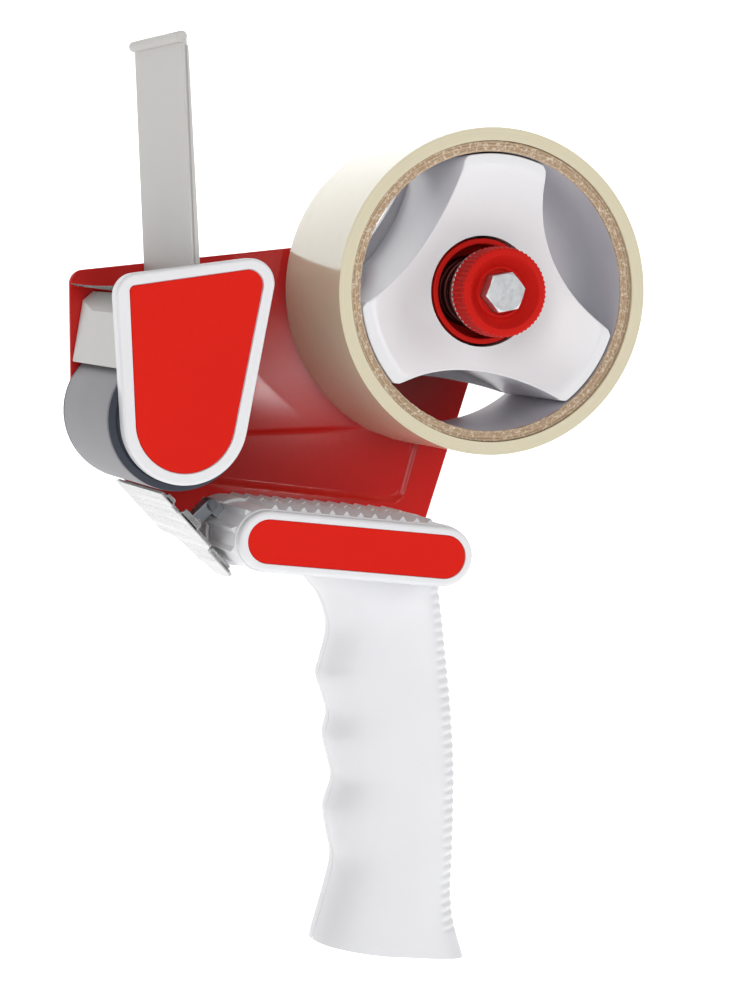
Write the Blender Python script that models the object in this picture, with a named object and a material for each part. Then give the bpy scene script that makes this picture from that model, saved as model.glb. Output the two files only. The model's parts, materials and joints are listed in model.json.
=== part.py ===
"""Hand-held packing tape dispenser: a pistol grip, a steel side plate, a braked three-lobed hub that
carries the roll of tape, a rubber roller, a serrated blade, a sprung tape guide and a wiper flap.

The frame has +Z up with the grip hanging down, +X towards the roll of tape and +Y towards the side plate.
The origin is in the middle of the grip. Drawing dimensions are millimetres, and MM turns them into metres.
"""

from math import atan2, cos, pi, radians, sin

import bmesh
import bpy
from mathutils import Vector

MM = 0.001

# Driving dimensions. Depths run along Y, from the open near side to the side plate at the far side.
GAP = 0.3
HUB_X, HUB_Z = 28.0, 130.0
CORE_BORE_R, CORE_R, TAPE_R = 38.1, 40.9, 44.6
CORE_NEAR, CORE_FAR, TAPE_FAR = -17.0, 31.6, 29.6
ROLLER_X, ROLLER_Z, ROLLER_R = -61.45, 96.95, 19.15
PLATE_NEAR, PLATE_T = 33.0, 1.6
PANEL_DEPTH = 1.0
PLATE_BACK = PLATE_NEAR + PLATE_T
PANEL_BACK = PLATE_BACK + PANEL_DEPTH
GUARD_NEAR, GUARD_FAR = -23.0, -18.4
HEAD_L, HEAD_R = (-38.6, 64.4), (11.1, 58.6)
HEAD_NEAR, HEAD_FAR = -25.0, 21.0
PARTING_Y = 1.0
GRIP_HALF_DEPTH = 13.5
BUTT_TILT = 0.225
BUTT_Z = -54.0
FLAP_X, FLAP_Z = -56.3, 124.0
FLAP_LEAN = -0.038
GUIDE_TOP = (-65.6, 77.5)
GUIDE_SLOPE = radians(-47.7)
GUIDE_PIN_AT, GUIDE_PIN_UP = 16.2, 2.9
KNOB_NEAR, KNOB_LENGTH, KNOB_R = -25.5, 8.9, 12.3
SCREW_HOLE_R, SCREW_SHANK_R = 1.8, 1.5
RODS_NEAR = -20.2


def clear_scene():
    for obj in list(bpy.data.objects):
        bpy.data.objects.remove(obj, do_unlink=True)


def material(name, colour, roughness, metallic=0.0):
    """One Principled material with a plain colour."""
    made = bpy.data.materials.new(name)
    made.use_nodes = True
    shader = made.node_tree.nodes["Principled BSDF"]
    shader.inputs["Base Color"].default_value = (*colour, 1.0)
    shader.inputs["Roughness"].default_value = roughness
    shader.inputs["Metallic"].default_value = metallic
    made.diffuse_color = (*colour, 1.0)
    return made


# Outlines are lists of (x, z) in millimetres, counter-clockwise as seen from the near side.


def belt(circles, steps=36):
    """The outline of a belt drawn tight around circles given as (x, z, radius)."""
    points = sorted(
        {
            (round(x + r * cos(2 * pi * k / steps), 6), round(z + r * sin(2 * pi * k / steps), 6))
            for x, z, r in circles
            for k in range(steps)
        }
    )

    def half(ordered):
        chain = []
        for p in ordered:
            while len(chain) > 1:
                (ax, az), (bx, bz) = chain[-2:]
                if (bx - ax) * (p[1] - az) - (bz - az) * (p[0] - ax) > 1e-9:
                    break
                chain.pop()
            chain.append(p)
        return chain[:-1]

    return half(points) + half(points[::-1])


def stadium(radius, left=HEAD_L, right=HEAD_R, steps=36):
    return belt([(*left, radius), (*right, radius)], steps)


def arc(cx, cz, radius, start, end, count):
    """Points on a circle from one angle to another, in degrees, both ends included."""
    step = (end - start) / (count - 1)
    angles = [radians(start + step * k) for k in range(count)]
    return [(cx + radius * cos(a), cz + radius * sin(a)) for a in angles]


def smooth(points, per_span):
    """A Catmull-Rom curve through points, with the end tangents taken from the end spans."""
    padded = [points[0], *points, points[-1]]
    curve = []
    for a, b, c, d in zip(padded, padded[1:], padded[2:], padded[3:]):
        for k in range(per_span):
            t = k / per_span
            curve.append(
                tuple(
                    0.5 * (2 * q + (r - p) * t + (2 * p - 5 * q + 4 * r - s) * t**2 + (3 * q - p - 3 * r + s) * t**3)
                    for p, q, r, s in zip(a, b, c, d)
                )
            )
    return [*curve, points[-1]]


# Meshes are built in the part's frame, in millimetres, and moved onto their own origin by add.


def loft(rings):
    """A closed mesh through rings of equally many points, capped at both ends."""
    mesh = bmesh.new()
    verts = [[mesh.verts.new(p) for p in ring] for ring in rings]
    mesh.faces.new(verts[0])
    mesh.faces.new(verts[-1][::-1])
    for near, far in zip(verts, verts[1:]):
        for k in range(len(near)):
            n = (k + 1) % len(near)
            mesh.faces.new((near[k], far[k], far[n], near[n]))
    bmesh.ops.recalc_face_normals(mesh, faces=mesh.faces)
    return mesh


def prism(outline, near, far):
    return loft([[(x, y, z) for x, z in outline] for y in (near, far)])


def turned(profile, x, z, steps=40):
    """A solid of revolution about the line along Y at (x, z). profile holds (radius, y) around a closed loop."""
    mesh = bmesh.new()
    rings = []
    for radius, y in profile:
        if radius == 0:
            rings.append([mesh.verts.new((x, y, z))] * steps)
            continue
        angles = [2 * pi * k / steps for k in range(steps)]
        rings.append([mesh.verts.new((x + radius * cos(a), y, z + radius * sin(a))) for a in angles])
    closed = all(radius > 0 for radius, _ in profile)
    pairs = list(zip(rings, rings[1:])) + ([(rings[-1], rings[0])] if closed else [])
    for one, two in pairs:
        for k in range(steps):
            n = (k + 1) % steps
            corners = dict.fromkeys((one[k], two[k], two[n], one[n]))
            if len(corners) > 2:
                mesh.faces.new(tuple(corners))
    bmesh.ops.recalc_face_normals(mesh, faces=mesh.faces)
    return mesh


def rod(x, z, radius, near, far, steps=24):
    return turned([(0, near), (radius, near), (radius, far), (0, far)], x, z, steps)


def tube(x, z, inner, outer, near, far, steps=40):
    return turned([(inner, near), (outer, near), (outer, far), (inner, far)], x, z, steps)


def coil(x, z, radius, wire, near, far, turns, around=5, per_turn=12):
    """A helical spring along Y, swept as one capped tube of round wire."""
    count = int(turns * per_turn)
    rings = []
    for k in range(count + 1):
        a = 2 * pi * k / per_turn
        centre = Vector((x + radius * cos(a), near + (far - near) * k / count, z + radius * sin(a)))
        out = Vector((cos(a), 0, sin(a)))
        up = Vector((0, 1, 0))
        angles = [2 * pi * j / around for j in range(around)]
        rings.append([centre + wire * (out * cos(b) + up * sin(b)) for b in angles])
    return loft(rings)


def add(name, mesh, look, origin=(0.0, 0.0, 0.0), parent=None, flat=False):
    """Makes the node: the mesh in metres about origin, which is where the object stands."""
    centre = Vector(origin)
    for vert in mesh.verts:
        vert.co = (vert.co - centre) * MM
    data = bpy.data.meshes.new(name)
    mesh.to_mesh(data)
    mesh.free()
    if not flat:
        data.shade_smooth()
        data.set_sharp_from_angle(angle=radians(35))
    obj = bpy.data.objects.new(name, data)
    bpy.context.scene.collection.objects.link(obj)
    obj.location = centre * MM
    if parent is not None:
        obj.parent = parent
        obj.location = centre * MM - parent.location
    data.materials.append(look)
    return obj


def shape(obj, mesh, operation):
    """A Boolean on obj with a hidden helper solid."""
    helper = add(obj.name + "_" + operation.lower(), mesh, obj.data.materials[0], flat=True)
    helper.hide_render = True
    helper.display_type = "WIRE"
    modifier = obj.modifiers.new(helper.name, "BOOLEAN")
    modifier.operation = operation
    modifier.object = helper
    return obj


def cut(obj, mesh):
    return shape(obj, mesh, "DIFFERENCE")


def join(obj, mesh):
    return shape(obj, mesh, "UNION")


def bevel(obj, width, segments=2):
    modifier = obj.modifiers.new("edges", "BEVEL")
    modifier.width = width * MM
    modifier.segments = segments
    modifier.limit_method = "ANGLE"
    modifier.angle_limit = radians(50)
    return obj


def pivot(name, x, y, z):
    """An empty on a joint's axis, which the pieces that turn there are parented to."""
    empty = bpy.data.objects.new(name, None)
    bpy.context.scene.collection.objects.link(empty)
    empty.location = Vector((x, y, z)) * MM
    return empty


clear_scene()

RED_PAINT = material("red painted steel", (0.62, 0.02, 0.015), 0.25)
RED_PLASTIC = material("red plastic", (0.72, 0.03, 0.02), 0.35)
WHITE_PLASTIC = material("white plastic", (0.78, 0.78, 0.79), 0.4)
GREY_PLASTIC = material("light grey plastic", (0.62, 0.62, 0.61), 0.45)
NAVY_PLASTIC = material("dark blue-grey plastic", (0.035, 0.045, 0.07), 0.4)
RUBBER = material("grey rubber", (0.22, 0.22, 0.235), 0.7)
STEEL = material("zinc-plated steel", (0.7, 0.71, 0.72), 0.25, 1.0)
SPRING_STEEL = material("spring steel", (0.45, 0.46, 0.48), 0.3, 1.0)
DARK_STEEL = material("blackened steel", (0.06, 0.06, 0.07), 0.45, 1.0)
CARDBOARD = material("cardboard", (0.42, 0.28, 0.15), 0.9)
TAPE = material("clear adhesive tape", (0.72, 0.68, 0.5), 0.2)
FELT = material("brake felt", (0.08, 0.08, 0.09), 0.95)

spindle_axis = pivot("spindle_axis", HUB_X, 0, HUB_Z)
roller_axis = pivot("roller_axis", ROLLER_X, 0, ROLLER_Z)
flap_axis = pivot("flap_axis", FLAP_X, 0, FLAP_Z)
GUIDE_D = (cos(GUIDE_SLOPE), sin(GUIDE_SLOPE))
GUIDE_N = (-GUIDE_D[1], GUIDE_D[0])


def on_guide(along, above):
    """The (x, z) of a point on the guide's section: along it from its top edge, and above it towards the head."""
    return (
        GUIDE_TOP[0] + along * GUIDE_D[0] + above * GUIDE_N[0],
        GUIDE_TOP[1] + along * GUIDE_D[1] + above * GUIDE_N[1],
    )


GUIDE_PIVOT = on_guide(GUIDE_PIN_AT, GUIDE_PIN_UP)
guide_axis = pivot("guide_axis", GUIDE_PIVOT[0], 0, GUIDE_PIVOT[1])

# Side plate: pressed steel with a shallow sunk panel that stiffens it.
PLATE_CORNERS = [(-74.2, 131.9, 4), (38.5, 134.9, 12), (19.4, 52.0, 3.5)]
PLATE_CORNERS += [(-38.4, 57.0, 4), (-58.6, 78.4, 4), (-74.0, 96.6, 4)]
PANEL_CORNERS = [(-38.0, 86.0, 6), (19.6, 86.0, 7), (16.0, 73.6, 7), (-38.0, 79.8, 6)]
AXLE_R = 3.0
STEM_R = 5.0
POST_X, POST_Z = -44.0, 129.5
HEAD_SCREWS = [(-24.0, 62.7), (0.0, 59.9)]
HOLDER_SCREWS = [(-73.6, 118.6), (-66.0, 124.0)]


def panel(shrink, near, far):
    """A tapered slab of the panel's outline, narrower at its far end by shrink."""
    wide = belt(PANEL_CORNERS)
    narrow = belt([(x, z, r - shrink) for x, z, r in PANEL_CORNERS])
    return loft([[(x, near, z) for x, z in wide], [(x, far, z) for x, z in narrow]])


plate = add("frame_plate", prism(belt(PLATE_CORNERS), PLATE_NEAR, PLATE_BACK), RED_PAINT)
join(plate, panel(1.5, PLATE_NEAR + 0.8, PANEL_BACK))
cut(plate, panel(3.0, PLATE_NEAR - 1.0, PLATE_NEAR + PANEL_DEPTH))
cut(plate, rod(HUB_X, HUB_Z, STEM_R + GAP, 25, 45))
cut(plate, rod(ROLLER_X, ROLLER_Z, AXLE_R + GAP, 25, 45))
for number, (x, z) in enumerate([(POST_X, POST_Z), *HEAD_SCREWS, *HOLDER_SCREWS], 1):
    cut(plate, rod(x, z, SCREW_HOLE_R, 25, 45, 16))

# Handle: two moulded shells that meet in the grip's middle plane. Each has half of the grip and of the head.
GRIP_FRONT = [(-24.0, 57), (-20.0, 51.5), (-15.6, 45.5), (-13.4, 37.3), (-15.4, 28.7), (-16.5, 24.2)]
GRIP_FRONT += [(-14.6, 18), (-13.5, 13.2), (-14.6, 7), (-13.0, 0), (-12.1, -5.2), (-14.4, -13)]
GRIP_FRONT += [(-13.4, -20.5), (-12.3, -27), (-14.0, -35), (-18.0, -48)]
GRIP_BACK = [(18.2, 57), (17.8, 48), (19.2, 35), (21.2, 16), (22.3, -2), (22.1, -20)]
GRIP_BACK += [(21.4, -38), (22.6, -48), (25.3, -57.5)]
FRONT_CURVE = smooth(GRIP_FRONT, 3)
BACK_CURVE = smooth(GRIP_BACK, 5)
GRIP_ROWS = 30
SECTION_POINTS = 10
RIB_PITCH, RIB_HEIGHT = 4.05, 1.3
RIBS_ON_TOP = 12
RIB_FIRST_X = 7.8
NEAR_BODY_R, FAR_BODY_R, NECK_R = 8.5, 9.1, 5.6
RIBS_NEAR = -20.0
NECK_L, NECK_RIGHT = (-26.0, 62.9), (4.0, 59.4)
ARM_R = 1.75
ARM_BEND, ARM_ROOT = (-47.2, 72.4), (-39.0, 64.6)
ARM_SLOT = (-0.6, 5.6)
GRIP_SCREWS = [(3.5, 38.0), (5.0, -36.0)]


def between(curve, share):
    """The point that lies at this share of the way along a curve's points."""
    at = share * (len(curve) - 1)
    k = min(int(at), len(curve) - 2)
    t = at - k
    return tuple(a + (b - a) * t for a, b in zip(curve[k], curve[k + 1]))


def grip_half(side):
    """Half of the grip, from the middle plane out to the near (side -1) or the far (side 1) skin."""
    rings = []
    for row in range(GRIP_ROWS + 1):
        share = row / GRIP_ROWS
        (x0, z0), (x1, z1) = between(FRONT_CURVE, share), between(BACK_CURVE, share)
        swell = 1 + 0.1 * share**4
        ring = []
        for k in range(SECTION_POINTS + 1):
            a = pi * k / SECTION_POINTS
            across = (1 - abs(cos(a)) ** 0.85 * (1 if cos(a) > 0 else -1)) / 2
            depth = GRIP_HALF_DEPTH * swell * sin(a) ** 0.8 if 0 < k < SECTION_POINTS else 0
            y = PARTING_Y + side * (GAP / 2 + depth)
            ring.append((x0 + (x1 - x0) * across, y, z0 + (z1 - z0) * across))
        rings.append(ring)
    return loft(rings)


def rib(x, z, radius, angle, near, far):
    """A triangular ridge along the head, standing on its skin at this angle."""
    out, along = (cos(angle), sin(angle)), (-sin(angle), cos(angle))
    base = radius - 0.6
    corners = [(base, -1.6), (radius + RIB_HEIGHT, 0), (base, 1.6)]
    section = [(x + r * out[0] + s * along[0], z + r * out[1] + s * along[1]) for r, s in corners]
    return prism(section, near, far)


def rib_places():
    """(x, z, angle) of the foot of each rib: along the head's top and round its front end."""
    slope = atan2(HEAD_R[1] - HEAD_L[1], HEAD_R[0] - HEAD_L[0])
    up = slope + pi / 2
    places = []
    for k in range(RIBS_ON_TOP):
        x = RIB_FIRST_X - RIB_PITCH * k * cos(slope)
        rise = (x - HEAD_L[0]) * (HEAD_R[1] - HEAD_L[1]) / (HEAD_R[0] - HEAD_L[0])
        places.append((x, HEAD_L[1] + rise, up))
    for k in (1, 2, 3):
        places.append((*HEAD_L, up + k * radians(25)))
    return places


NEAR_END, FAR_END = PARTING_Y - GAP / 2, PARTING_Y + GAP / 2
near_shell = add("handle_near_shell", prism(stadium(NEAR_BODY_R), HEAD_NEAR + 3.5, NEAR_END), WHITE_PLASTIC)
join(near_shell, grip_half(-1))
far_shell = add("handle_far_shell", prism(stadium(FAR_BODY_R), FAR_END, HEAD_FAR), WHITE_PLASTIC)
join(far_shell, prism(stadium(NECK_R, NECK_L, NECK_RIGHT), HEAD_FAR - 1, PLATE_NEAR - GAP))
join(far_shell, grip_half(1))
for x, z, angle in rib_places():
    join(near_shell, rib(x, z, NEAR_BODY_R, angle, RIBS_NEAR, NEAR_END - 0.2))
    join(far_shell, rib(x, z, FAR_BODY_R - 0.4, angle, FAR_END + 0.2, HEAD_FAR - 0.5))


def below_butt():
    """A slab whose top is the grip's slanted flat butt."""
    left, right = -60.0, 70.0
    top = [(x, BUTT_Z - BUTT_TILT * (x - 4.0)) for x in (left, right)]
    return prism([(left, -120), (right, -120), top[1], top[0]], -60, 60)


for shell in (near_shell, far_shell):
    cut(shell, below_butt())
    cut(shell, prism(belt([(*ARM_ROOT, ARM_R + GAP), (*ARM_BEND, ARM_R + GAP)], 20), *ARM_SLOT))
for number, (x, z) in enumerate(HEAD_SCREWS, 1):
    cut(far_shell, rod(x, z, SCREW_HOLE_R, 24, 40, 16))
    profile = [(0, 37.6), (3.4, 37.6), (3.6, 36.6), (3.6, PANEL_BACK + GAP)]
    profile += [(SCREW_SHANK_R, PANEL_BACK + GAP), (SCREW_SHANK_R, 24.6), (0, 24.6)]
    add(f"head_screw_{number}", turned(profile, x, z, 20), STEEL)
for number, (x, z) in enumerate(GRIP_SCREWS, 1):
    cut(far_shell, rod(x, z, 3.3, 12.0, 30, 20))
    profile = [(0, 12.3), (2.9, 12.3), (2.9, 13.4), (2.2, 14.2), (0, 14.2)]
    add(f"grip_screw_{number}", turned(profile, x, z, 20), STEEL)

cap = bevel(add("head_cap", prism(stadium(8.1), HEAD_NEAR, HEAD_NEAR + 3.2), WHITE_PLASTIC), 0.8)
cut(cap, prism(stadium(6.0), HEAD_NEAR - 2, HEAD_NEAR + 1.2))
add("head_badge", prism(stadium(5.8), HEAD_NEAR + 0.3, HEAD_NEAR + 1.0), RED_PLASTIC)

# Side guard: a tapered moulded cover over the roller's near end, with a red panel let into it.
GUARD = [(-60.6, 96.6, 16.9), (-42.8, 132.7, 6.6), (-73.4, 129.6, 6.0)]
GUARD_PANEL = [(-60.8, 96.4, 13.5), (-43.5, 132.3, 4.0), (-74.2, 130.8, 1.5)]
guard = bevel(add("side_guard", prism(belt(GUARD, 48), GUARD_NEAR, GUARD_FAR), WHITE_PLASTIC), 0.7)
cut(guard, prism(belt([(x, z, r + 0.2) for x, z, r in GUARD_PANEL], 48), GUARD_NEAR - 2, GUARD_NEAR + 1.1))
cut(guard, prism(belt([(x, z, r - 1.8) for x, z, r in GUARD], 36), GUARD_FAR - 2.2, GUARD_FAR + 2))
add("guard_badge", prism(belt(GUARD_PANEL, 48), GUARD_NEAR + 0.2, GUARD_NEAR + 0.8), RED_PLASTIC)
add("guard_post", rod(POST_X, POST_Z, 2.5, RODS_NEAR, PLATE_NEAR - GAP, 20), STEEL)
post_screw = [(0, PLATE_BACK + 2.2), (3.2, PLATE_BACK + 2.2), (3.4, PLATE_BACK + 1.2)]
post_screw += [(3.4, PLATE_BACK + GAP), (0, PLATE_BACK + GAP)]
add("post_screw", turned(post_screw, POST_X, POST_Z, 20), STEEL)

# Blade holder: a faceted block that arches over the roller and carries the serrated blade.
HOLDER_NEAR, HOLDER_FAR = -17.4, 32.2
ARCH_R = ROLLER_R + 1.85
arch = arc(ROLLER_X, ROLLER_Z, ARCH_R, 90, 139.6, 9)
HOLDER = [*arch, (-77.7, 110.5), (-77.7, 125.0), (-71.8, 129.9), (-62.0, 128.7)]
holder = add("blade_holder", prism(HOLDER[::-1], HOLDER_NEAR, HOLDER_FAR), GREY_PLASTIC, flat=True)
bevel_plane = [(-77.7, 9.0, 125.0), (-77.7, 31.0, 111.8), (-75.3, 31.0, 125.0)]


def beyond_plane(a, b, c, size=60.0, thick=12.0):
    """A slab whose one face lies in the plane through three points and which stands on the plane's outer side."""
    a, b, c = Vector(a), Vector(b), Vector(c)
    u = (b - a).normalized()
    n = u.cross(c - a).normalized()
    if n.x > 0:
        n = -n
    v = n.cross(u)
    corners = [a + u * i * size + v * j * size for i, j in ((-1, -1), (1, -1), (1, 1), (-1, 1))]
    return loft([corners, [p + n * thick for p in corners]])


cut(holder, beyond_plane(*bevel_plane))
for number, (x, z) in enumerate(HOLDER_SCREWS, 1):
    cut(holder, rod(x, z, SCREW_HOLE_R, 22, 40, 16))
    profile = [(0, 37.0), (3.0, 37.0), (3.2, 36.2), (3.2, PLATE_BACK + GAP)]
    profile += [(SCREW_SHANK_R, PLATE_BACK + GAP), (SCREW_SHANK_R, 22.6), (0, 22.6)]
    add(f"holder_screw_{number}", turned(profile, x, z, 20), STEEL)

# Blade: a thin strip with saw teeth along its front edge.
TOOTH_PITCH, TOOTH_DEPTH = 1.6, 1.2
BLADE_NEAR, BLADE_TEETH, BLADE_T = -16.6, 30, 0.55
BLADE_EDGE, BLADE_BACK_X, BLADE_FALL = (-78.4, 132.2), -63.6, 0.129


def blade_mesh():
    points = []
    for k in range(BLADE_TEETH):
        y = BLADE_NEAR + TOOTH_PITCH * k
        points += [(BLADE_EDGE[0] + TOOTH_DEPTH, y), (BLADE_EDGE[0], y + TOOTH_PITCH / 2)]
    far = BLADE_NEAR + TOOTH_PITCH * BLADE_TEETH
    points += [(BLADE_EDGE[0] + TOOTH_DEPTH, far), (BLADE_BACK_X, far), (BLADE_BACK_X, BLADE_NEAR)]
    rings = []
    for lift in (0, BLADE_T):
        rings.append([(x, y, BLADE_EDGE[1] - BLADE_FALL * (x - BLADE_EDGE[0]) - lift) for x, y in points])
    return loft(rings)


blade = add("blade", blade_mesh(), STEEL, flat=True)
BLADE_SCREW_X = -67.6
for number, y in enumerate((-4.0, 19.0), 1):
    z = BLADE_EDGE[1] - BLADE_FALL * (BLADE_SCREW_X - BLADE_EDGE[0])
    hole = bmesh.new()
    bmesh.ops.create_cone(hole, cap_ends=True, segments=16, radius1=1.9, radius2=1.9, depth=8)
    bmesh.ops.translate(hole, verts=hole.verts, vec=(BLADE_SCREW_X, y, z))
    cut(blade, hole.copy())
    cut(holder, hole)
    screw = bmesh.new()
    bmesh.ops.create_cone(screw, cap_ends=True, segments=16, radius1=1.6, radius2=1.6, depth=3.6)
    bmesh.ops.translate(screw, verts=screw.verts, vec=(BLADE_SCREW_X, y, z - 1.8))
    add(f"blade_screw_{number}", screw, STEEL)

# Roller: a rubber sleeve on a plastic core between two dark end discs, free to turn on a steel axle.
ROLLER_NEAR, ROLLER_FAR = -17.9, 32.4
DISC_T, DISC_R = 1.0, ROLLER_R - 0.1
TYRE_NEAR, TYRE_FAR = ROLLER_NEAR + DISC_T + GAP, ROLLER_FAR - DISC_T - GAP
TYRE_BORE_R, ROLLER_BORE_R = 15.8, AXLE_R + 0.25
# Name, inner and outer radius, near and far end, steps round it, and material.
ROLLER_PARTS = [
    ("roller_tyre", TYRE_BORE_R, ROLLER_R, TYRE_NEAR, TYRE_FAR, 56, RUBBER),
    ("roller_core", ROLLER_BORE_R, TYRE_BORE_R - GAP, TYRE_NEAR, TYRE_FAR, 40, GREY_PLASTIC),
    ("roller_disc_near", ROLLER_BORE_R, DISC_R, ROLLER_NEAR, ROLLER_NEAR + DISC_T, 56, NAVY_PLASTIC),
    ("roller_disc_far", ROLLER_BORE_R, DISC_R, ROLLER_FAR - DISC_T, ROLLER_FAR, 56, NAVY_PLASTIC),
]
for name, inner, outer, near, far, steps, look in ROLLER_PARTS:
    ring = tube(ROLLER_X, ROLLER_Z, inner, outer, near, far, steps)
    add(name, ring, look, (ROLLER_X, 0, ROLLER_Z), roller_axis)
axle = [(0, RODS_NEAR), (AXLE_R, RODS_NEAR), (AXLE_R, PLATE_BACK + GAP)]
axle += [(5.4, PLATE_BACK + GAP), (5.4, 36.4), (4.6, 37.4), (0, 37.4)]
add("roller_axle", turned(axle, ROLLER_X, ROLLER_Z, 28), STEEL)

# Wiper flap: a tall moulded strip with a bead on top and a stiffening flange down each side, sprung on a pin.
FLAP_NEAR, FLAP_FAR, FLAP_T = -17.0, 31.9, 1.2
BEAD_X, BEAD_Z, BEAD_R = -59.7, 197.2, 1.5
KNUCKLE_R = 2.9
FLANGE_T = 1.3


def flap_x(z):
    return FLAP_X - 0.5 + FLAP_LEAN * (z - FLAP_Z)


def flap_section(foot_z, top_z, back, foot_front, top_front):
    """A four-cornered (x, z) section along the flap, from back to front offsets measured from its back face."""
    corners = [(back, foot_z), (foot_front, foot_z), (top_front, top_z), (back, top_z)]
    return [(flap_x(z) + dx, z) for dx, z in corners]


flap_strip = prism(flap_section(126, 196.6, 0, FLAP_T, FLAP_T), FLAP_NEAR, FLAP_FAR)
flap = add("wiper_flap", flap_strip, GREY_PLASTIC, (FLAP_X, 0, FLAP_Z), flap_axis)
for near in (FLAP_NEAR, FLAP_FAR - FLANGE_T):
    join(flap, prism(flap_section(126, 195, 0.4, 2.4, 1.6), near, near + FLANGE_T))
join(flap, rod(BEAD_X, BEAD_Z, BEAD_R, FLAP_NEAR, FLAP_FAR, 16))
join(flap, rod(FLAP_X, FLAP_Z, KNUCKLE_R, FLAP_NEAR, FLAP_FAR, 24))
cut(flap, rod(FLAP_X, FLAP_Z, 1.7, FLAP_NEAR - 5, FLAP_FAR + 5, 20))
cut(flap, prism(arc(FLAP_X, FLAP_Z, 6.0, 0, 324, 10), 2.0, 14.0))
add("flap_pin", rod(FLAP_X, FLAP_Z, 1.5, RODS_NEAR, PLATE_NEAR - GAP, 20), STEEL)
add("flap_spring", coil(FLAP_X, FLAP_Z, 2.5, 0.5, 3.0, 13.0, 6), SPRING_STEEL)

# Hub: three lobes that grip the cardboard core, with a sunk front and a counterbore for the brake.
LOBES = 3
LOBE_ANGLE, LOBE_HALF = 83.5, 19.3
LOBE_R, WAIST_R = 37.6, 22.0
DISH_R, DISH_DEPTH = 33.5, 6.6
HUB_NEAR, HUB_FAR = -16.0, 26.0
BRAKE_BORE_R, BUSH_BORE_R = 15.3, 9.3
BRAKE_FLOOR = 7.4
FLANGE_WAIST_R, FLANGE_FAR = 25.0, 29.2
HUB_AT = (HUB_X, 0, HUB_Z)


def lobed(radius, waist, corner, points=9):
    """A round outline of this radius with a wide hollow of circular arc between each two lobes."""
    half = radians(180 / LOBES - LOBE_HALF)
    far_x, far_z = corner * cos(half), corner * sin(half)
    hollow_r = ((far_x - waist) ** 2 + far_z**2) / (2 * (far_x - waist))
    centre = waist + hollow_r
    spread = atan2(far_z, centre - far_x)
    outline = []
    for lobe in range(LOBES):
        middle = LOBE_ANGLE + 360 / LOBES * lobe
        outline += arc(HUB_X, HUB_Z, radius, middle - LOBE_HALF + 2.5, middle + LOBE_HALF - 2.5, points)
        turn = radians(middle + 180 / LOBES)
        for k in range(points + 2):
            a = pi + spread - 2 * spread * k / (points + 1)
            u, v = centre + hollow_r * cos(a), hollow_r * sin(a)
            outline.append((HUB_X + u * cos(turn) - v * sin(turn), HUB_Z + u * sin(turn) + v * cos(turn)))
    return outline


hub_solid = prism(lobed(LOBE_R, WAIST_R, LOBE_R - 1.2), HUB_NEAR, HUB_FAR)
hub = bevel(add("hub_body", hub_solid, WHITE_PLASTIC, HUB_AT, spindle_axis), 1.4)
dish = [(0, HUB_NEAR - 4), (DISH_R, HUB_NEAR - 4), (DISH_R, HUB_NEAR), (16.0, HUB_NEAR + DISH_DEPTH)]
cut(hub, turned([*dish, (0, HUB_NEAR + DISH_DEPTH)], HUB_X, HUB_Z))
cut(hub, rod(HUB_X, HUB_Z, BRAKE_BORE_R, HUB_NEAR - 5, BRAKE_FLOOR, 40))
cut(hub, rod(HUB_X, HUB_Z, BUSH_BORE_R, 0, HUB_FAR + 5, 32))
flange_solid = prism(lobed(LOBE_R - 0.2, FLANGE_WAIST_R, LOBE_R - 1.4, 7), HUB_FAR + GAP, FLANGE_FAR)
flange = add("hub_flange", flange_solid, WHITE_PLASTIC, HUB_AT, spindle_axis)
cut(flange, rod(HUB_X, HUB_Z, BUSH_BORE_R, 20, 35, 32))
bush = tube(HUB_X, HUB_Z, 7.25, BUSH_BORE_R - GAP, BRAKE_FLOOR + GAP, FLANGE_FAR + 0.2, 28)
add("hub_bush", bush, NAVY_PLASTIC, HUB_AT, spindle_axis)

# Roll: a cardboard core wound with clear adhesive tape.
roll_core = tube(HUB_X, HUB_Z, CORE_BORE_R, CORE_R, CORE_NEAR, CORE_FAR, 72)
add("tape_core", roll_core, CARDBOARD, HUB_AT, spindle_axis)
roll_tape = tube(HUB_X, HUB_Z, CORE_R + 0.15, TAPE_R, CORE_NEAR - 0.7, TAPE_FAR, 72)
add("tape_roll", roll_tape, TAPE, HUB_AT, spindle_axis)

# Spindle: a steel post riveted to the plate, bored for the brake bolt, with its nut at the back.
SPINDLE_R, SPINDLE_NEAR = 7.0, -3.0
SPINDLE_BORE_R, SPINDLE_FLANGE_R, BORE_END, STEM_FAR = 3.3, 11.0, 20.0, 39.4
spindle = [(0, BORE_END), (SPINDLE_BORE_R, BORE_END), (SPINDLE_BORE_R, SPINDLE_NEAR), (SPINDLE_R, SPINDLE_NEAR)]
spindle += [(SPINDLE_R, 30.0), (SPINDLE_FLANGE_R, 30.0), (SPINDLE_FLANGE_R, PLATE_NEAR - GAP)]
spindle += [(STEM_R, PLATE_NEAR - GAP), (STEM_R, STEM_FAR), (0, STEM_FAR)]
add("spindle", turned(spindle, HUB_X, HUB_Z, 36), STEEL)
nut = arc(HUB_X, HUB_Z, 8.6, 0, 300, 6)
spindle_nut = add("spindle_nut", prism(nut, PLATE_BACK + GAP, PLATE_BACK + 3.0), STEEL, flat=True)
cut(spindle_nut, rod(HUB_X, HUB_Z, STEM_R + GAP, 30, 45))

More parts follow.
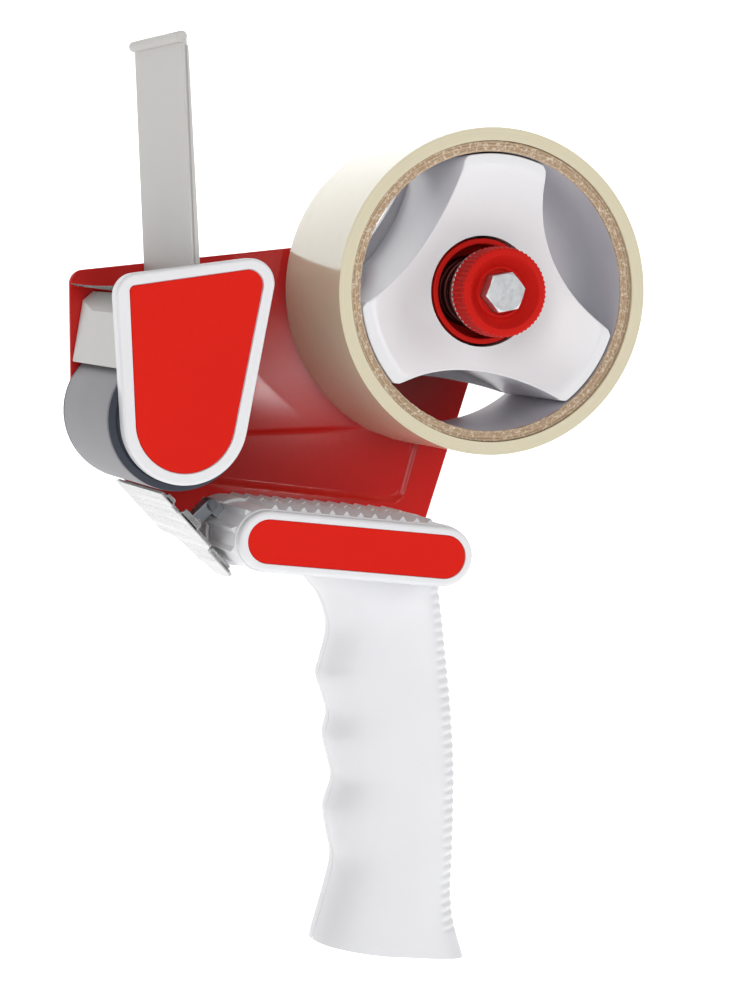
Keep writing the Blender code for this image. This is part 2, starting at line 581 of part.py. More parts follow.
# Brake: a fixed cup on the spindle, a felt ring under it, a spring, and the knob whose bolt loads the spring.
CUP_NEAR = -9.2
cup_profile = [(13.0, CUP_NEAR), (14.5, CUP_NEAR), (14.5, 5.4), (7.3, 5.4), (7.3, 3.0), (13.0, 3.0)]
add("brake_cup", turned(cup_profile, HUB_X, HUB_Z, 40), RED_PLASTIC)
add("brake_felt", tube(HUB_X, HUB_Z, 9.8, 14.3, 5.7, BRAKE_FLOOR - GAP, 32), FELT)
KNOB_FAR = KNOB_NEAR + KNOB_LENGTH
washer = tube(HUB_X, HUB_Z, 3.4, 11.8, KNOB_FAR + GAP, KNOB_FAR + 1.5, 36)
add("brake_washer", washer, STEEL, HUB_AT, spindle_axis)
spring = coil(HUB_X, HUB_Z, 9.2, 0.75, KNOB_FAR + 2.6, 2.0, 5)
add("brake_spring", spring, SPRING_STEEL, HUB_AT, spindle_axis)
KNURLS = 56
RECESS_FLOOR, BOLT_NEAR = KNOB_NEAR + 3.5, KNOB_NEAR - 1.0
KNURL_DEPTH = 0.6
HEX_CORNER_R, HEX_TURN = 10.0 / 3**0.5, 20
BOLT_R = 2.95
knurl = []
for k in range(2 * KNURLS):
    a = pi * k / KNURLS
    radius = KNOB_R - KNURL_DEPTH * (k % 2)
    knurl.append((HUB_X + radius * cos(a), HUB_Z + radius * sin(a)))
knob = add("brake_knob", prism(knurl, KNOB_NEAR, KNOB_FAR), RED_PLASTIC, HUB_AT, spindle_axis)
cut(knob, rod(HUB_X, HUB_Z, 9.75, KNOB_NEAR - 5, RECESS_FLOOR, 36))
socket = arc(HUB_X, HUB_Z, HEX_CORNER_R + 0.25, HEX_TURN, HEX_TURN + 300, 6)
cut(knob, prism(socket, RECESS_FLOOR - 1, RECESS_FLOOR + 1.2))
cut(knob, rod(HUB_X, HUB_Z, BOLT_R + GAP, RECESS_FLOOR, KNOB_FAR + 5, 20))
bolt_head = arc(HUB_X, HUB_Z, HEX_CORNER_R, HEX_TURN, HEX_TURN + 300, 6)
bolt = add("knob_bolt", prism(bolt_head, BOLT_NEAR, RECESS_FLOOR + 1.0), STEEL, HUB_AT, spindle_axis)
join(bolt, rod(HUB_X, HUB_Z, BOLT_R, RECESS_FLOOR, 15.0, 20))

# Tape guide: a bent sheet under the roller, hinged on a pin below the head and sprung towards the roller.
GUIDE_T = 1.0
GUIDE_NEAR, GUIDE_FAR = -16.6, 31.6
# (distance along the guide, y) round the flat blank, from the near top corner.
BLANK = [(0, GUIDE_NEAR), (4.6, GUIDE_NEAR), (4.9, -14.6), (7.0, -14.6), (7.3, GUIDE_NEAR), (19.6, GUIDE_NEAR)]
BLANK += [(22.0, -9.0), (30.0, -9.0), (32.2, -7.0), (33.2, 0.0), (33.2, 9.0), (22.6, 17.0), (20.4, 20.0)]
BLANK += [(19.4, 31.0), (18.6, GUIDE_FAR), (0, GUIDE_FAR)]


def guide_mesh():
    rings = []
    for above in (-GUIDE_T / 2, GUIDE_T / 2):
        rings.append([(on_guide(s, above)[0], y, on_guide(s, above)[1]) for s, y in BLANK])
    return loft(rings)


def guide_box(start, end, low, high, near, far):
    corners = [(start, low), (end, low), (end, high), (start, high)]
    return prism([on_guide(along, above) for along, above in corners], near, far)


pivot_at = (GUIDE_PIVOT[0], 0, GUIDE_PIVOT[1])
guide = add("tape_guide", guide_mesh(), STEEL, pivot_at, guide_axis)
join(guide, guide_box(1.5, 4.2, -0.3, 1.3, GUIDE_NEAR, GUIDE_NEAR + 1.0))
join(guide, guide_box(7.7, 13.8, -0.3, 1.9, GUIDE_NEAR, GUIDE_NEAR + 1.0))
join(guide, guide_box(22.3, 29.9, -0.3, 1.35, -9.0, -8.0))
EARS = (-2.0, 8.2)
EAR_R, GUIDE_HOLE_R = 1.9, 1.3
for near in EARS:
    feet = [(*on_guide(GUIDE_PIN_AT + step, 0.2), 0.6) for step in (-1.5, 1.5)]
    join(guide, prism(belt([(*GUIDE_PIVOT, EAR_R), *feet], 20), near, near + 1.0))
cut(guide, rod(*GUIDE_PIVOT, GUIDE_HOLE_R, -20, 25, 16))
add("guide_pin", rod(*GUIDE_PIVOT, 1.0, EARS[0] - 0.8, EARS[1] + 1.8, 16), STEEL)
add("guide_spring", coil(*GUIDE_PIVOT, 1.8, 0.35, 6.1, 7.5, 2), SPRING_STEEL)
ARM_NEAR, ARM_FAR = ARM_SLOT[0] + GAP, ARM_SLOT[1] - GAP
arm_root = prism(belt([(*ARM_BEND, ARM_R), (*ARM_ROOT, ARM_R)], 20), ARM_NEAR, ARM_FAR)
arm = add("guide_arm", arm_root, DARK_STEEL)
join(arm, prism(belt([(*GUIDE_PIVOT, ARM_R), (*ARM_BEND, ARM_R)], 20), ARM_NEAR, ARM_FAR))
cut(arm, rod(*GUIDE_PIVOT, GUIDE_HOLE_R, -5, 10, 16))
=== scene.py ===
"""Hand-held packing tape dispenser: the finished look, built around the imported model.

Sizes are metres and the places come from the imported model's own boxes and joints.
"""

import json
from math import atan2, cos, hypot, pi, radians, sin

import bmesh
import bpy
from mathutils import Matrix, Vector
from mathutils.noise import noise


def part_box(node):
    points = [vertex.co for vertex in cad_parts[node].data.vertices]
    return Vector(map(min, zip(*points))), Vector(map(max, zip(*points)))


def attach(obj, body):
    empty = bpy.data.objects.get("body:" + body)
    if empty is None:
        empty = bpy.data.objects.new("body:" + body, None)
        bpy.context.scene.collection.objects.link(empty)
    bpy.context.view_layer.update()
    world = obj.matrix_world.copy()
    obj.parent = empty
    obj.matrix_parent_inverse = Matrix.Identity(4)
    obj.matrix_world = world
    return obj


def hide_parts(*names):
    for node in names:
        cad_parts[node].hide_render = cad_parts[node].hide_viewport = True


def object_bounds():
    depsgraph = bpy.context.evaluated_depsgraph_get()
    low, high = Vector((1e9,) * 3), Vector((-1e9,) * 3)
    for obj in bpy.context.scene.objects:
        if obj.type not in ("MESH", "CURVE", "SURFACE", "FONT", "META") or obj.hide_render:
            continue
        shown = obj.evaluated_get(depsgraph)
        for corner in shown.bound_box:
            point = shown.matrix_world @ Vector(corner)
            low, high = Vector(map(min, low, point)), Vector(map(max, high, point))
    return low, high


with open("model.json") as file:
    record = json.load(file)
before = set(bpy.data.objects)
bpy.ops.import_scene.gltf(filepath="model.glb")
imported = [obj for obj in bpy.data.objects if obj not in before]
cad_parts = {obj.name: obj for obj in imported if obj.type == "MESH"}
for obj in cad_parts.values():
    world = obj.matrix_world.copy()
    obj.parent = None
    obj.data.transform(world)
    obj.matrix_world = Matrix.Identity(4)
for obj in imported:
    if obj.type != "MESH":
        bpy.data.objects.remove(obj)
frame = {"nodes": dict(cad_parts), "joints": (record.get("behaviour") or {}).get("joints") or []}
cad_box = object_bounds()
joints = {joint["name"]: joint for joint in frame["joints"]}

# ---------------------------------------------------------------- Camera and studio
# A long lens a little to the left of square on and just above the roll of tape, a white floor that
# curves up into a backdrop, and large soft lamps with one small lamp that puts the bright patch on the paint.
view = bpy.data.cameras.new("view")
view.lens = 109.47
view.sensor_width = 36.0
view.clip_start = 0.05
camera = bpy.data.objects.new("view", view)
camera.location = (-0.2778, -0.7908, 0.1444)
camera.rotation_euler = (radians(85.09), 0.0, radians(-19.34))
bpy.context.scene.collection.objects.link(camera)
bpy.context.scene.camera = camera

FLOOR_Z = cad_box[0][2] - 0.30
FLOOR_REACH, WALL_Y, WALL_TOP, COVE_R = 3.0, 1.6, 3.0, 0.6


def linked(obj):
    bpy.context.scene.collection.objects.link(obj)
    return obj


def outward(bm):
    """Turns every face to point outwards."""
    bmesh.ops.recalc_face_normals(bm, faces=bm.faces)
    return bm


def studio_floor():
    """One sheet: flat floor, a quarter-round cove, and a wall."""
    bm = bmesh.new()
    run = [(-2.5, FLOOR_Z), (WALL_Y - COVE_R, FLOOR_Z)]
    for step in range(1, 13):
        a = pi / 2 * step / 12
        run.append((WALL_Y - COVE_R + COVE_R * sin(a), FLOOR_Z + COVE_R * (1 - cos(a))))
    run.append((WALL_Y, WALL_TOP))
    verts = [bm.verts.new((-FLOOR_REACH, y, z)) for y, z in run]
    edges = [bm.edges.new(pair) for pair in zip(verts, verts[1:])]
    made = bmesh.ops.extrude_edge_only(bm, edges=edges)
    moved = [g for g in made["geom"] if isinstance(g, bmesh.types.BMVert)]
    bmesh.ops.translate(bm, verts=moved, vec=(2 * FLOOR_REACH, 0, 0))
    outward(bm)
    mesh = bpy.data.meshes.new("studio_floor")
    bm.to_mesh(mesh)
    bm.free()
    mesh.shade_smooth()
    return linked(bpy.data.objects.new("studio_floor", mesh))


floor = studio_floor()
paper = bpy.data.materials.new("studio_paper")
paper.use_nodes = True
paper_look = {"Base Color": (0.93, 0.93, 0.93, 1), "Roughness": 0.9}
paper_look |= {"Emission Color": (1, 1, 1, 1), "Emission Strength": 0.5}
for key, value in paper_look.items():
    paper.node_tree.nodes["Principled BSDF"].inputs[key].default_value = value
floor.data.materials.append(paper)

world = bpy.data.worlds.new("studio_air")
world.use_nodes = True
sky = world.node_tree.nodes["Background"].inputs
sky["Color"].default_value, sky["Strength"].default_value = (1.0, 1.0, 1.0, 1), 0.30
bpy.context.scene.world = world
bpy.context.scene.view_settings.view_transform = "Standard"


def lamp(name, place, aim, size, watts):
    """A rectangular lamp that faces a point."""
    light = bpy.data.lights.new(name, "AREA")
    light.shape = "RECTANGLE"
    light.size, light.size_y = size
    light.energy = watts
    made = linked(bpy.data.objects.new(name, light))
    made.location = place
    made.rotation_euler = (Vector(aim) - Vector(place)).to_track_quat("-Z", "Y").to_euler()
    return made


lamp("key", (-1.1, -1.0, 1.1), (0, 0, 0.08), (0.9, 0.9), 1.2)
lamp("fill", (1.3, -0.9, 0.5), (0, 0, 0.08), (0.8, 1.0), 6.5)
lamp("top", (0.1, 0.3, 1.5), (0, 0, 0.05), (1.2, 1.2), 1.4)
lamp("front", (-0.55, -1.4, 0.55), (0, 0, 0.06), (0.8, 0.8), 6.5)
patch = lamp("patch", (0.279, -0.87, 0.062), (-0.0125, 0.033, 0.105), (0.052, 0.042), 0.18)
lamp("behind", (0.0, 1.2, 0.9), (0, 1.59, 0.2), (2.0, 1.0), 6)

# ---------------------------------------------------------------- Side plate
# Pressed sheet steel, 1.6 mm thick, painted glossy red. It carries every other piece, and a shallow
# panel pressed into its lower part stiffens it. The paint has a little orange peel and a few dust specks.


def disc(bm, x, y, z, radius, segments):
    """A circle of vertices in a plane square to Y."""
    turn = Matrix.Translation((x, y, z)) @ Matrix.Rotation(pi / 2, 4, "X")
    return bmesh.ops.create_circle(bm, cap_ends=False, radius=radius, segments=segments, matrix=turn)["verts"]


def slab(discs, near, far, taper=0.0, segments=64):
    """The solid that a belt round these discs (x, z, radius) sweeps from near to far along Y."""
    bm = bmesh.new()
    for x, z, radius in discs:
        disc(bm, x, near, z, radius, segments)
        disc(bm, x, far, z, radius - taper, segments)
    hull = bmesh.ops.convex_hull(bm, input=bm.verts)
    spare = [g for g in hull["geom_interior"] if isinstance(g, bmesh.types.BMVert)]
    bmesh.ops.delete(bm, geom=spare, context="VERTS")
    bmesh.ops.delete(bm, geom=[e for e in bm.edges if not e.link_faces], context="EDGES")
    bmesh.ops.delete(bm, geom=[v for v in bm.verts if not v.link_faces], context="VERTS")
    bmesh.ops.dissolve_limit(bm, angle_limit=radians(0.4), verts=bm.verts, edges=bm.edges)
    return outward(bm)


def cap_face(bm, y):
    """The flat face at this depth along Y with the most area."""
    found = [f for f in bm.faces if all(abs(v.co.y - y) < 1e-6 for v in f.verts)]
    return max(found, key=lambda f: f.calc_area())


def bevelled(bm, geom, width, segments, affect):
    bmesh.ops.bevel(
        bm, geom=geom, offset=width, offset_type="OFFSET", segments=segments,
        profile=0.5, affect=affect, clamp_overlap=True, material=-1,
    )


def round_off(bm, width, segments=3, sharper=40, where=lambda edge: True):
    """Rounds the edges that turn by more than this angle."""
    turning = [e for e in bm.edges if len(e.link_faces) == 2 and e.calc_face_angle(0) > radians(sharper)]
    bevelled(bm, [e for e in turning if where(e)], width, segments, "EDGES")
    return bm


def on_near_face(y):
    """Tells round_off to keep to the edges of the face at this depth."""
    return lambda edge: all(v.co.y < y + 1e-6 for v in edge.verts)


def cut_by(obj, *helpers):
    """Cuts helper solids out of a piece and leaves nothing of them behind."""
    for helper in helpers:
        tool = linked(bpy.data.objects.new("cutter", bpy.data.meshes.new("cutter")))
        helper.to_mesh(tool.data)
        helper.free()
        modifier = obj.modifiers.new("cut", "BOOLEAN")
        modifier.operation = "DIFFERENCE"
        modifier.solver = "EXACT"
        modifier.object = tool
        graph = bpy.context.evaluated_depsgraph_get()
        cut = bpy.data.meshes.new_from_object(obj.evaluated_get(graph))
        obj.modifiers.clear()
        obj.data = cut
        bpy.data.objects.remove(tool)


def piece(name, bm, look, body, slot, *nodes, cuts=(), sharp=35):
    """Turns a bmesh into a finished piece that rides on its body and stands for these CAD nodes."""
    mesh = bpy.data.meshes.new(name)
    bm.to_mesh(mesh)
    bm.free()
    obj = linked(bpy.data.objects.new(name, mesh))
    obj.data.materials.append(look)
    cut_by(obj, *cuts)
    obj.data.shade_smooth()
    obj.data.set_sharp_from_angle(angle=radians(sharp))
    obj.modifiers.new("even_shading", "WEIGHTED_NORMAL").keep_sharp = True
    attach(obj, body)
    if nodes:
        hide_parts(*nodes)
    return obj


def fed(tree, made, inputs):
    """Sets each of a shader node's inputs to a value, or links it to a socket."""
    for key, value in inputs.items():
        if isinstance(value, bpy.types.NodeSocket):
            tree.links.new(value, made.inputs[key])
        else:
            made.inputs[key].default_value = value
    return made


def node(tree, kind, inputs=None, **settings):
    made = tree.nodes.new(kind)
    for key, value in settings.items():
        setattr(made, key, value)
    return fed(tree, made, inputs or {})


def worked(tree, operation, *values):
    """The outcome of one step of arithmetic."""
    return node(tree, "ShaderNodeMath", dict(enumerate(values)), operation=operation).outputs[0]


def clouds(tree, where, scale, detail=3.0, roughness=0.5):
    """Noise at these coordinates, from 0 to 1."""
    inputs = {"Vector": where, "Scale": scale, "Detail": detail, "Roughness": roughness}
    return node(tree, "ShaderNodeTexNoise", inputs).outputs["Fac"]


def group(name, inputs, outputs):
    """A node group with float inputs (name: default) and float outputs, and its two end nodes."""
    tree = bpy.data.node_groups.new(name, "ShaderNodeTree")
    for key, value in inputs.items():
        tree.interface.new_socket(key, in_out="INPUT", socket_type="NodeSocketFloat").default_value = value
    for key in outputs:
        tree.interface.new_socket(key, in_out="OUTPUT", socket_type="NodeSocketFloat")
    return tree, tree.nodes.new("NodeGroupInput"), tree.nodes.new("NodeGroupOutput")


def placed(tree, effect, inputs):
    return node(tree, "ShaderNodeGroup", inputs, node_tree=effect).outputs


def make_surface_grain():
    """Fine grain for bump, and a slow drift of tone, both from the piece's own coordinates."""
    tree, start, end = group("surface_grain", {"Grain Scale": 900.0, "Tone Scale": 14.0}, ("Grain", "Tone"))
    where = node(tree, "ShaderNodeTexCoord").outputs["Object"]
    fed(tree, end, {
        "Grain": clouds(tree, where, start.outputs["Grain Scale"], roughness=0.55),
        "Tone": clouds(tree, where, start.outputs["Tone Scale"], roughness=0.6),
    })
    return tree


def make_dust_specks():
    """Small scattered round specks: a few cells of a cell pattern each show a dot at their centre."""
    sizes = {"Cell Scale": 110.0, "Dot Size": 0.03, "Share": 0.12}
    tree, start, end = group("dust_specks", sizes, ("Specks",))
    where = node(tree, "ShaderNodeTexCoord").outputs["Object"]
    spacing = {"Vector": where, "Scale": start.outputs["Cell Scale"]}
    cells = node(tree, "ShaderNodeTexVoronoi", spacing).outputs
    lot = node(tree, "ShaderNodeSeparateColor", {"Color": cells["Color"]}).outputs["Red"]
    near = worked(tree, "LESS_THAN", cells["Distance"], start.outputs["Dot Size"])
    few = worked(tree, "LESS_THAN", lot, start.outputs["Share"])
    fed(tree, end, {"Specks": worked(tree, "MULTIPLY", near, few)})
    return tree


def make_hair_scratches():
    """Long thin marks: noise drawn out along Y."""
    tree, start, end = group("hair_scratches", {"Scale": 300.0, "Stretch": 0.03}, ("Brushing",))
    where = node(tree, "ShaderNodeTexCoord").outputs["Object"]
    parts = node(tree, "ShaderNodeSeparateXYZ", {"Vector": where}).outputs
    drawn = worked(tree, "MULTIPLY", parts["Y"], start.outputs["Stretch"])
    joined = node(tree, "ShaderNodeCombineXYZ", {"X": parts["X"], "Y": drawn, "Z": parts["Z"]}).outputs[0]
    fed(tree, end, {"Brushing": clouds(tree, joined, start.outputs["Scale"], 4.0, 0.7)})
    return tree


surface_grain = make_surface_grain()
dust_specks = make_dust_specks()
hair_scratches = make_hair_scratches()


def shader_of(name):
    made = bpy.data.materials.new(name)
    made.use_nodes = True
    return made, made.node_tree, made.node_tree.nodes["Principled BSDF"]


def mixed(tree, factor, one, two):
    """A colour between two, by a factor socket. The first can be a colour socket."""
    first = one if isinstance(one, bpy.types.NodeSocket) else (*one, 1)
    return node(tree, "ShaderNodeMix", {0: factor, 6: first, 7: (*two, 1)}, data_type="RGBA").outputs[2]


def ranged(tree, value, low, high, start=0.0, end=1.0):
    """A value carried from the range start..end to the range low..high."""
    limits = {"From Min": start, "From Max": end, "To Min": low, "To Max": high}
    return node(tree, "ShaderNodeMapRange", {"Value": value, **limits}).outputs["Result"]


def bump(tree, height, distance):
    inputs = {"Height": height, "Distance": distance, "Strength": 1.0}
    return node(tree, "ShaderNodeBump", inputs).outputs["Normal"]


def red_coat(name, light, dark, roughness, peel_scale, peel_depth, coat):
    """Red with a slow drift of tone, an uneven gloss, a fine peel and a few pale dust specks."""
    made, tree, shader = shader_of(name)
    grain = placed(tree, surface_grain, {"Grain Scale": peel_scale, "Tone Scale": 22.0})
    dust = placed(tree, dust_specks, {"Cell Scale": 90.0, "Dot Size": 0.028, "Share": 0.16})
    body_colour = mixed(tree, grain["Tone"], dark, light)
    fed(tree, shader, {
        "Base Color": mixed(tree, dust["Specks"], body_colour, (0.75, 0.55, 0.5)),
        "Roughness": ranged(tree, grain["Tone"], roughness - 0.05, roughness + 0.07, 0.3, 0.7),
        "Specular IOR Level": 0.08, "Coat Weight": coat, "Coat Roughness": 0.08,
        "Normal": bump(tree, grain["Grain"], peel_depth),
    })
    return made


red_paint = red_coat("red_paint", (0.58, 0.011, 0.007), (0.48, 0.008, 0.006), 0.3, 700.0, 0.00006, 0.45)

plate_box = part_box("frame_plate")
PLATE_NEAR = plate_box[0].y
PLATE_T, PANEL_DEPTH = 0.0016, 0.0010
PLATE_CORNERS = [(-0.0742, 0.1319, 0.004), (0.0385, 0.1349, 0.012), (0.0194, 0.0520, 0.0035)]
PLATE_CORNERS += [(-0.0384, 0.0570, 0.004), (-0.0586, 0.0784, 0.004), (-0.0740, 0.0966, 0.004)]
PANEL_CORNERS = [(-0.0380, 0.0860, 0.006), (0.0196, 0.0860, 0.007)]
PANEL_CORNERS += [(0.0160, 0.0736, 0.007), (-0.0380, 0.0798, 0.006)]


def grown(discs, by):
    return [(x, z, radius + by) for x, z, radius in discs]


plate_press = slab(PANEL_CORNERS, PLATE_NEAR - 0.001, PLATE_NEAR + PANEL_DEPTH, taper=0.003)
plate_sheet = round_off(slab(PLATE_CORNERS, PLATE_NEAR, PLATE_NEAR + PLATE_T), 0.00035, 3)
plate = piece("side_plate", plate_sheet, red_paint, "frame", "red_paint", "frame_plate", cuts=[
    round_off(plate_press, 0.0008, 4, 25),
])
PLATE_BACK = PLATE_NEAR + PLATE_T
raised = slab(grown(PANEL_CORNERS, -0.0008), PLATE_BACK - 0.0002, PLATE_BACK + PANEL_DEPTH, taper=0.0012)
piece("side_plate_panel_back", round_off(raised, 0.0005, 3, 25), red_paint, "frame", "red_paint")
patch_lit = bpy.data.collections.new("patch_lit")
patch_lit.objects.link(plate)
patch.light_linking.receiver_collection = patch_lit
patch.light_linking.blocker_collection = patch_lit

# ---------------------------------------------------------------- Screws and nut on the back
# Zinc-plated pan-head screws with a cross recess, and a chamfered hexagon nut. They hold the handle,
# the blade holder, the guard's post and the spindle to the plate.


def turned(profile, x, z, steps=96, closed=False, soften=0.0):
    """A solid of revolution about a line along Y. profile holds (radius, y); soften rounds its corners."""
    bm = bmesh.new()
    verts = [bm.verts.new((x + radius, y, z)) for radius, y in profile]
    for pair in zip(verts, verts[1:] + verts[:1] if closed else verts[1:]):
        bm.edges.new(pair)
    if soften:
        corners = [v for v in bm.verts if len(v.link_edges) == 2 and abs(v.co.x - x) > 1e-6]
        bevelled(bm, corners, soften, 3, "VERTICES")
    drawn = bm.verts[:] + bm.edges[:]
    bmesh.ops.spin(bm, geom=drawn, cent=(x, 0, z), axis=(0, 1, 0), angle=2 * pi, steps=steps, use_merge=True)
    bmesh.ops.remove_doubles(bm, verts=bm.verts, dist=1e-7)
    return outward(bm)


def turned_ring(x, z, inner, outer, near, far, steps, soften=0.0):
    """A ring, or a rod where inner is 0."""
    profile = [(inner, near), (outer, near), (outer, far), (inner, far)]
    return turned(profile, x, z, steps, closed=inner > 0, soften=soften)


def metal(name, light, dark, roughness, scratch_scale):
    """Bare or plated metal: brushing along Y, hair scratches and a faint drift of tone."""
    made, tree, shader = shader_of(name)
    brushing = placed(tree, hair_scratches, {"Scale": scratch_scale, "Stretch": 0.03})["Brushing"]
    tone = placed(tree, surface_grain, {"Grain Scale": 1500.0, "Tone Scale": 60.0})["Tone"]
    fed(tree, shader, {
        "Base Color": mixed(tree, tone, dark, light),
        "Metallic": 1.0,
        "Roughness": ranged(tree, brushing, roughness - 0.07, roughness + 0.12, 0.3, 0.7),
        "Normal": bump(tree, brushing, 0.00001),
    })
    return made


zinc = metal("zinc_plate", (0.78, 0.79, 0.80), (0.64, 0.66, 0.68), 0.44, 500.0)
bright_steel = metal("bright_steel", (0.50, 0.50, 0.495), (0.42, 0.42, 0.42), 0.24, 260.0)
dark_steel = metal("dark_steel", (0.42, 0.45, 0.48), (0.28, 0.30, 0.33), 0.3, 300.0)
spring_steel = metal("spring_steel", (0.55, 0.56, 0.58), (0.38, 0.39, 0.41), 0.3, 700.0)


def cross_recess(x, z, y, reach, depth):
    """The two crossed wedges that the driver leaves in a screw head whose top is at y."""
    wedges = []
    for turn in (0.3, 0.3 + pi / 2):
        bm = bmesh.new()
        bmesh.ops.create_cube(bm, size=1.0)
        bmesh.ops.scale(bm, verts=bm.verts, vec=(2 * reach, 2 * depth, reach * 0.36))
        inner = [v for v in bm.verts if v.co.y < 0]
        bmesh.ops.scale(bm, verts=inner, vec=(0.35, 1, 0.6))
        bmesh.ops.rotate(bm, verts=bm.verts, cent=(0, 0, 0), matrix=Matrix.Rotation(turn, 3, "Y"))
        bmesh.ops.translate(bm, verts=bm.verts, vec=(x, y, z))
        wedges.append(bm)
    return wedges


def pan_screw(cad_node):
    """A pan-head screw in place of this CAD solid, with its head outside the plate."""
    low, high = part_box(cad_node)
    x, z = (low.x + high.x) / 2, (low.z + high.z) / 2
    radius, top, foot = (high.x - low.x) / 2, high.y, low.y
    seat = max(foot, top - 0.0028)
    profile = [(0, top), (radius * 0.45, top - 0.00008), (radius * 0.82, top - 0.0005)]
    profile += [(radius, top - 0.0013), (radius, seat)]
    profile += [(0.0015, seat), (0.0015, foot), (0, foot)] if seat > foot else [(0, foot)]
    recess = cross_recess(x, z, top, radius * 0.55, 0.0012)
    screw = turned(profile, x, z, 40)
    piece(cad_node + "_pan_head", screw, zinc, "frame", "zinc_steel", cad_node, cuts=recess)


for cad_node in ("head_screw_1", "head_screw_2", "holder_screw_1", "holder_screw_2", "post_screw"):
    pan_screw(cad_node)
for cad_node in ("grip_screw_1", "grip_screw_2"):
    pan_screw(cad_node)

nut_low, nut_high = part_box("spindle_nut")
NUT_X, NUT_Z = (nut_low.x + nut_high.x) / 2, (nut_low.z + nut_high.z) / 2


def drawn_out(bm, faces, by):
    """Extrudes faces along a vector into a closed solid, and gives back the vertices that moved."""
    made = bmesh.ops.extrude_face_region(bm, geom=faces)
    moved = [g for g in made["geom"] if isinstance(g, bmesh.types.BMVert)]
    bmesh.ops.translate(bm, verts=moved, vec=by)
    outward(bm)
    return moved


def hexagon(x, z, across_flats, near, far, turn=0.0, both_ends=False):
    """A hexagon bar whose near end, or each end, is turned down to a round face by a 30 degree chamfer."""
    bm = bmesh.new()
    corner_r = across_flats / 2 / cos(pi / 6)
    made = disc(bm, x, near, z, corner_r, 6)
    bmesh.ops.rotate(bm, verts=made, cent=(x, 0, z), matrix=Matrix.Rotation(turn, 3, "Y"))
    drawn_out(bm, [bm.faces.new(made)], (0, far - near, 0))
    sides = [e for e in bm.edges if abs(e.verts[0].co.y - e.verts[1].co.y) < 1e-7]
    bmesh.ops.subdivide_edges(bm, edges=sides, cuts=7, use_grid_fill=False)
    flat_r = across_flats / 2 * 0.995
    for end, way in ((near, 1), (far, -1)):
        if end == far and not both_ends:
            continue
        for v in bm.verts:
            if abs(v.co.y - end) < 1e-7:
                v.co.y += way * max(0.0, hypot(v.co.x - x, v.co.z - z) - flat_r) * 0.577
        many_sided = [f for f in bm.faces if len(f.verts) > 12]
        ring_face = [f for f in many_sided if abs(f.calc_center_median().y - end) < 0.0005]
        bmesh.ops.inset_region(bm, faces=ring_face, thickness=0.00001, use_even_offset=True)
        for v in ring_face[0].verts:
            away = Vector((v.co.x - x, 0, v.co.z - z))
            away = away.normalized() * flat_r
            v.co = (x + away.x, end, z + away.z)
    return bm


nut = hexagon(NUT_X, NUT_Z, (nut_high.z - nut_low.z), nut_low.y, nut_high.y, both_ends=True)
spindle_low, spindle_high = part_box("spindle")
bore = turned_ring(NUT_X, NUT_Z, 0, 0.0051, nut_low.y - 0.002, nut_high.y + 0.002, 40)
piece("spindle_hex_nut", nut, zinc, "frame", "zinc_steel", "spindle_nut", cuts=[bore])

# ---------------------------------------------------------------- Handle
# Two satin off-white mouldings that meet in the grip's middle plane: a pistol grip with finger waves in
# front and fine rounded ribs behind, under a tubular head with ridges along its top and front end.


def satin_plastic(name, light, dark, roughness, grain_depth=0.00002):
    made, tree, shader = shader_of(name)
    grain = placed(tree, surface_grain, {"Grain Scale": 1300.0, "Tone Scale": 18.0})
    dust = placed(tree, dust_specks, {"Cell Scale": 100.0, "Dot Size": 0.02, "Share": 0.05})
    body_colour = mixed(tree, grain["Tone"], dark, light)
    fed(tree, shader, {
        "Base Color": mixed(tree, dust["Specks"], body_colour, (0.45, 0.44, 0.42)),
        "Roughness": ranged(tree, grain["Tone"], roughness - 0.02, roughness + 0.03, 0.1, 0.9),
        "Subsurface Weight": 0.12, "Subsurface Radius": (0.004, 0.0036, 0.0033),
        "Normal": bump(tree, grain["Grain"], grain_depth),
    })
    return made


white_plastic = satin_plastic("white_plastic", (0.82, 0.82, 0.835), (0.76, 0.76, 0.785), 0.42)

HEAD_L, HEAD_R = (-0.0386, 0.0644), (0.0111, 0.0586)
HEAD_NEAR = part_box("head_cap")[0].y
PARTING_Y, HEAD_FAR = 0.0010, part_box("handle_far_shell")[1].y
SHOULDER_Y, BODY_FAR_Y, HALF_GAP = 0.0040, 0.0210, 0.00015
NEAR_BODY_R, FAR_BODY_R, NECK_R = 0.0085, 0.0093, 0.0056
GRIP_FRONT = [(-24.0, 57), (-20.0, 51.5), (-15.6, 45.5), (-13.4, 37.3), (-15.4, 28.7), (-16.5, 24.2)]
GRIP_FRONT += [(-14.6, 18), (-13.5, 13.2), (-14.6, 7), (-13.0, 0), (-12.1, -5.2), (-14.4, -13)]
GRIP_FRONT += [(-13.4, -20.5), (-12.3, -27), (-14.0, -35), (-18.0, -48), (-18.6, -52)]
GRIP_BACK = [(18.2, 57), (17.8, 48), (19.2, 35), (21.2, 16), (22.3, -2), (22.1, -20), (21.4, -38)]
GRIP_BACK += [(22.6, -48), (25.3, -57.5), (25.8, -60)]
GRIP_HALF_DEPTH, BUTT_TILT, BUTT_Z = 0.0135, 0.165, -0.0534
GRIP_RIB_PITCH, GRIP_RIB_DEPTH = 0.00262, 0.00042


def clamped(value):
    return min(1.0, max(0.0, value))


def eased(points, share):
    """A smooth curve through (x, z) points in millimetres, read at a share of its length, in metres."""
    at = share * (len(points) - 1)
    k = min(int(at), len(points) - 2)
    t = at - k
    a, b, c, d = (points[max(0, min(len(points) - 1, k + i))] for i in (-1, 0, 1, 2))
    return tuple(
        0.0005 * (2 * q + (r - p) * t + (2 * p - 5 * q + 4 * r - s) * t**2 + (3 * q - p - 3 * r + s) * t**3)
        for p, q, r, s in zip(a, b, c, d)
    )


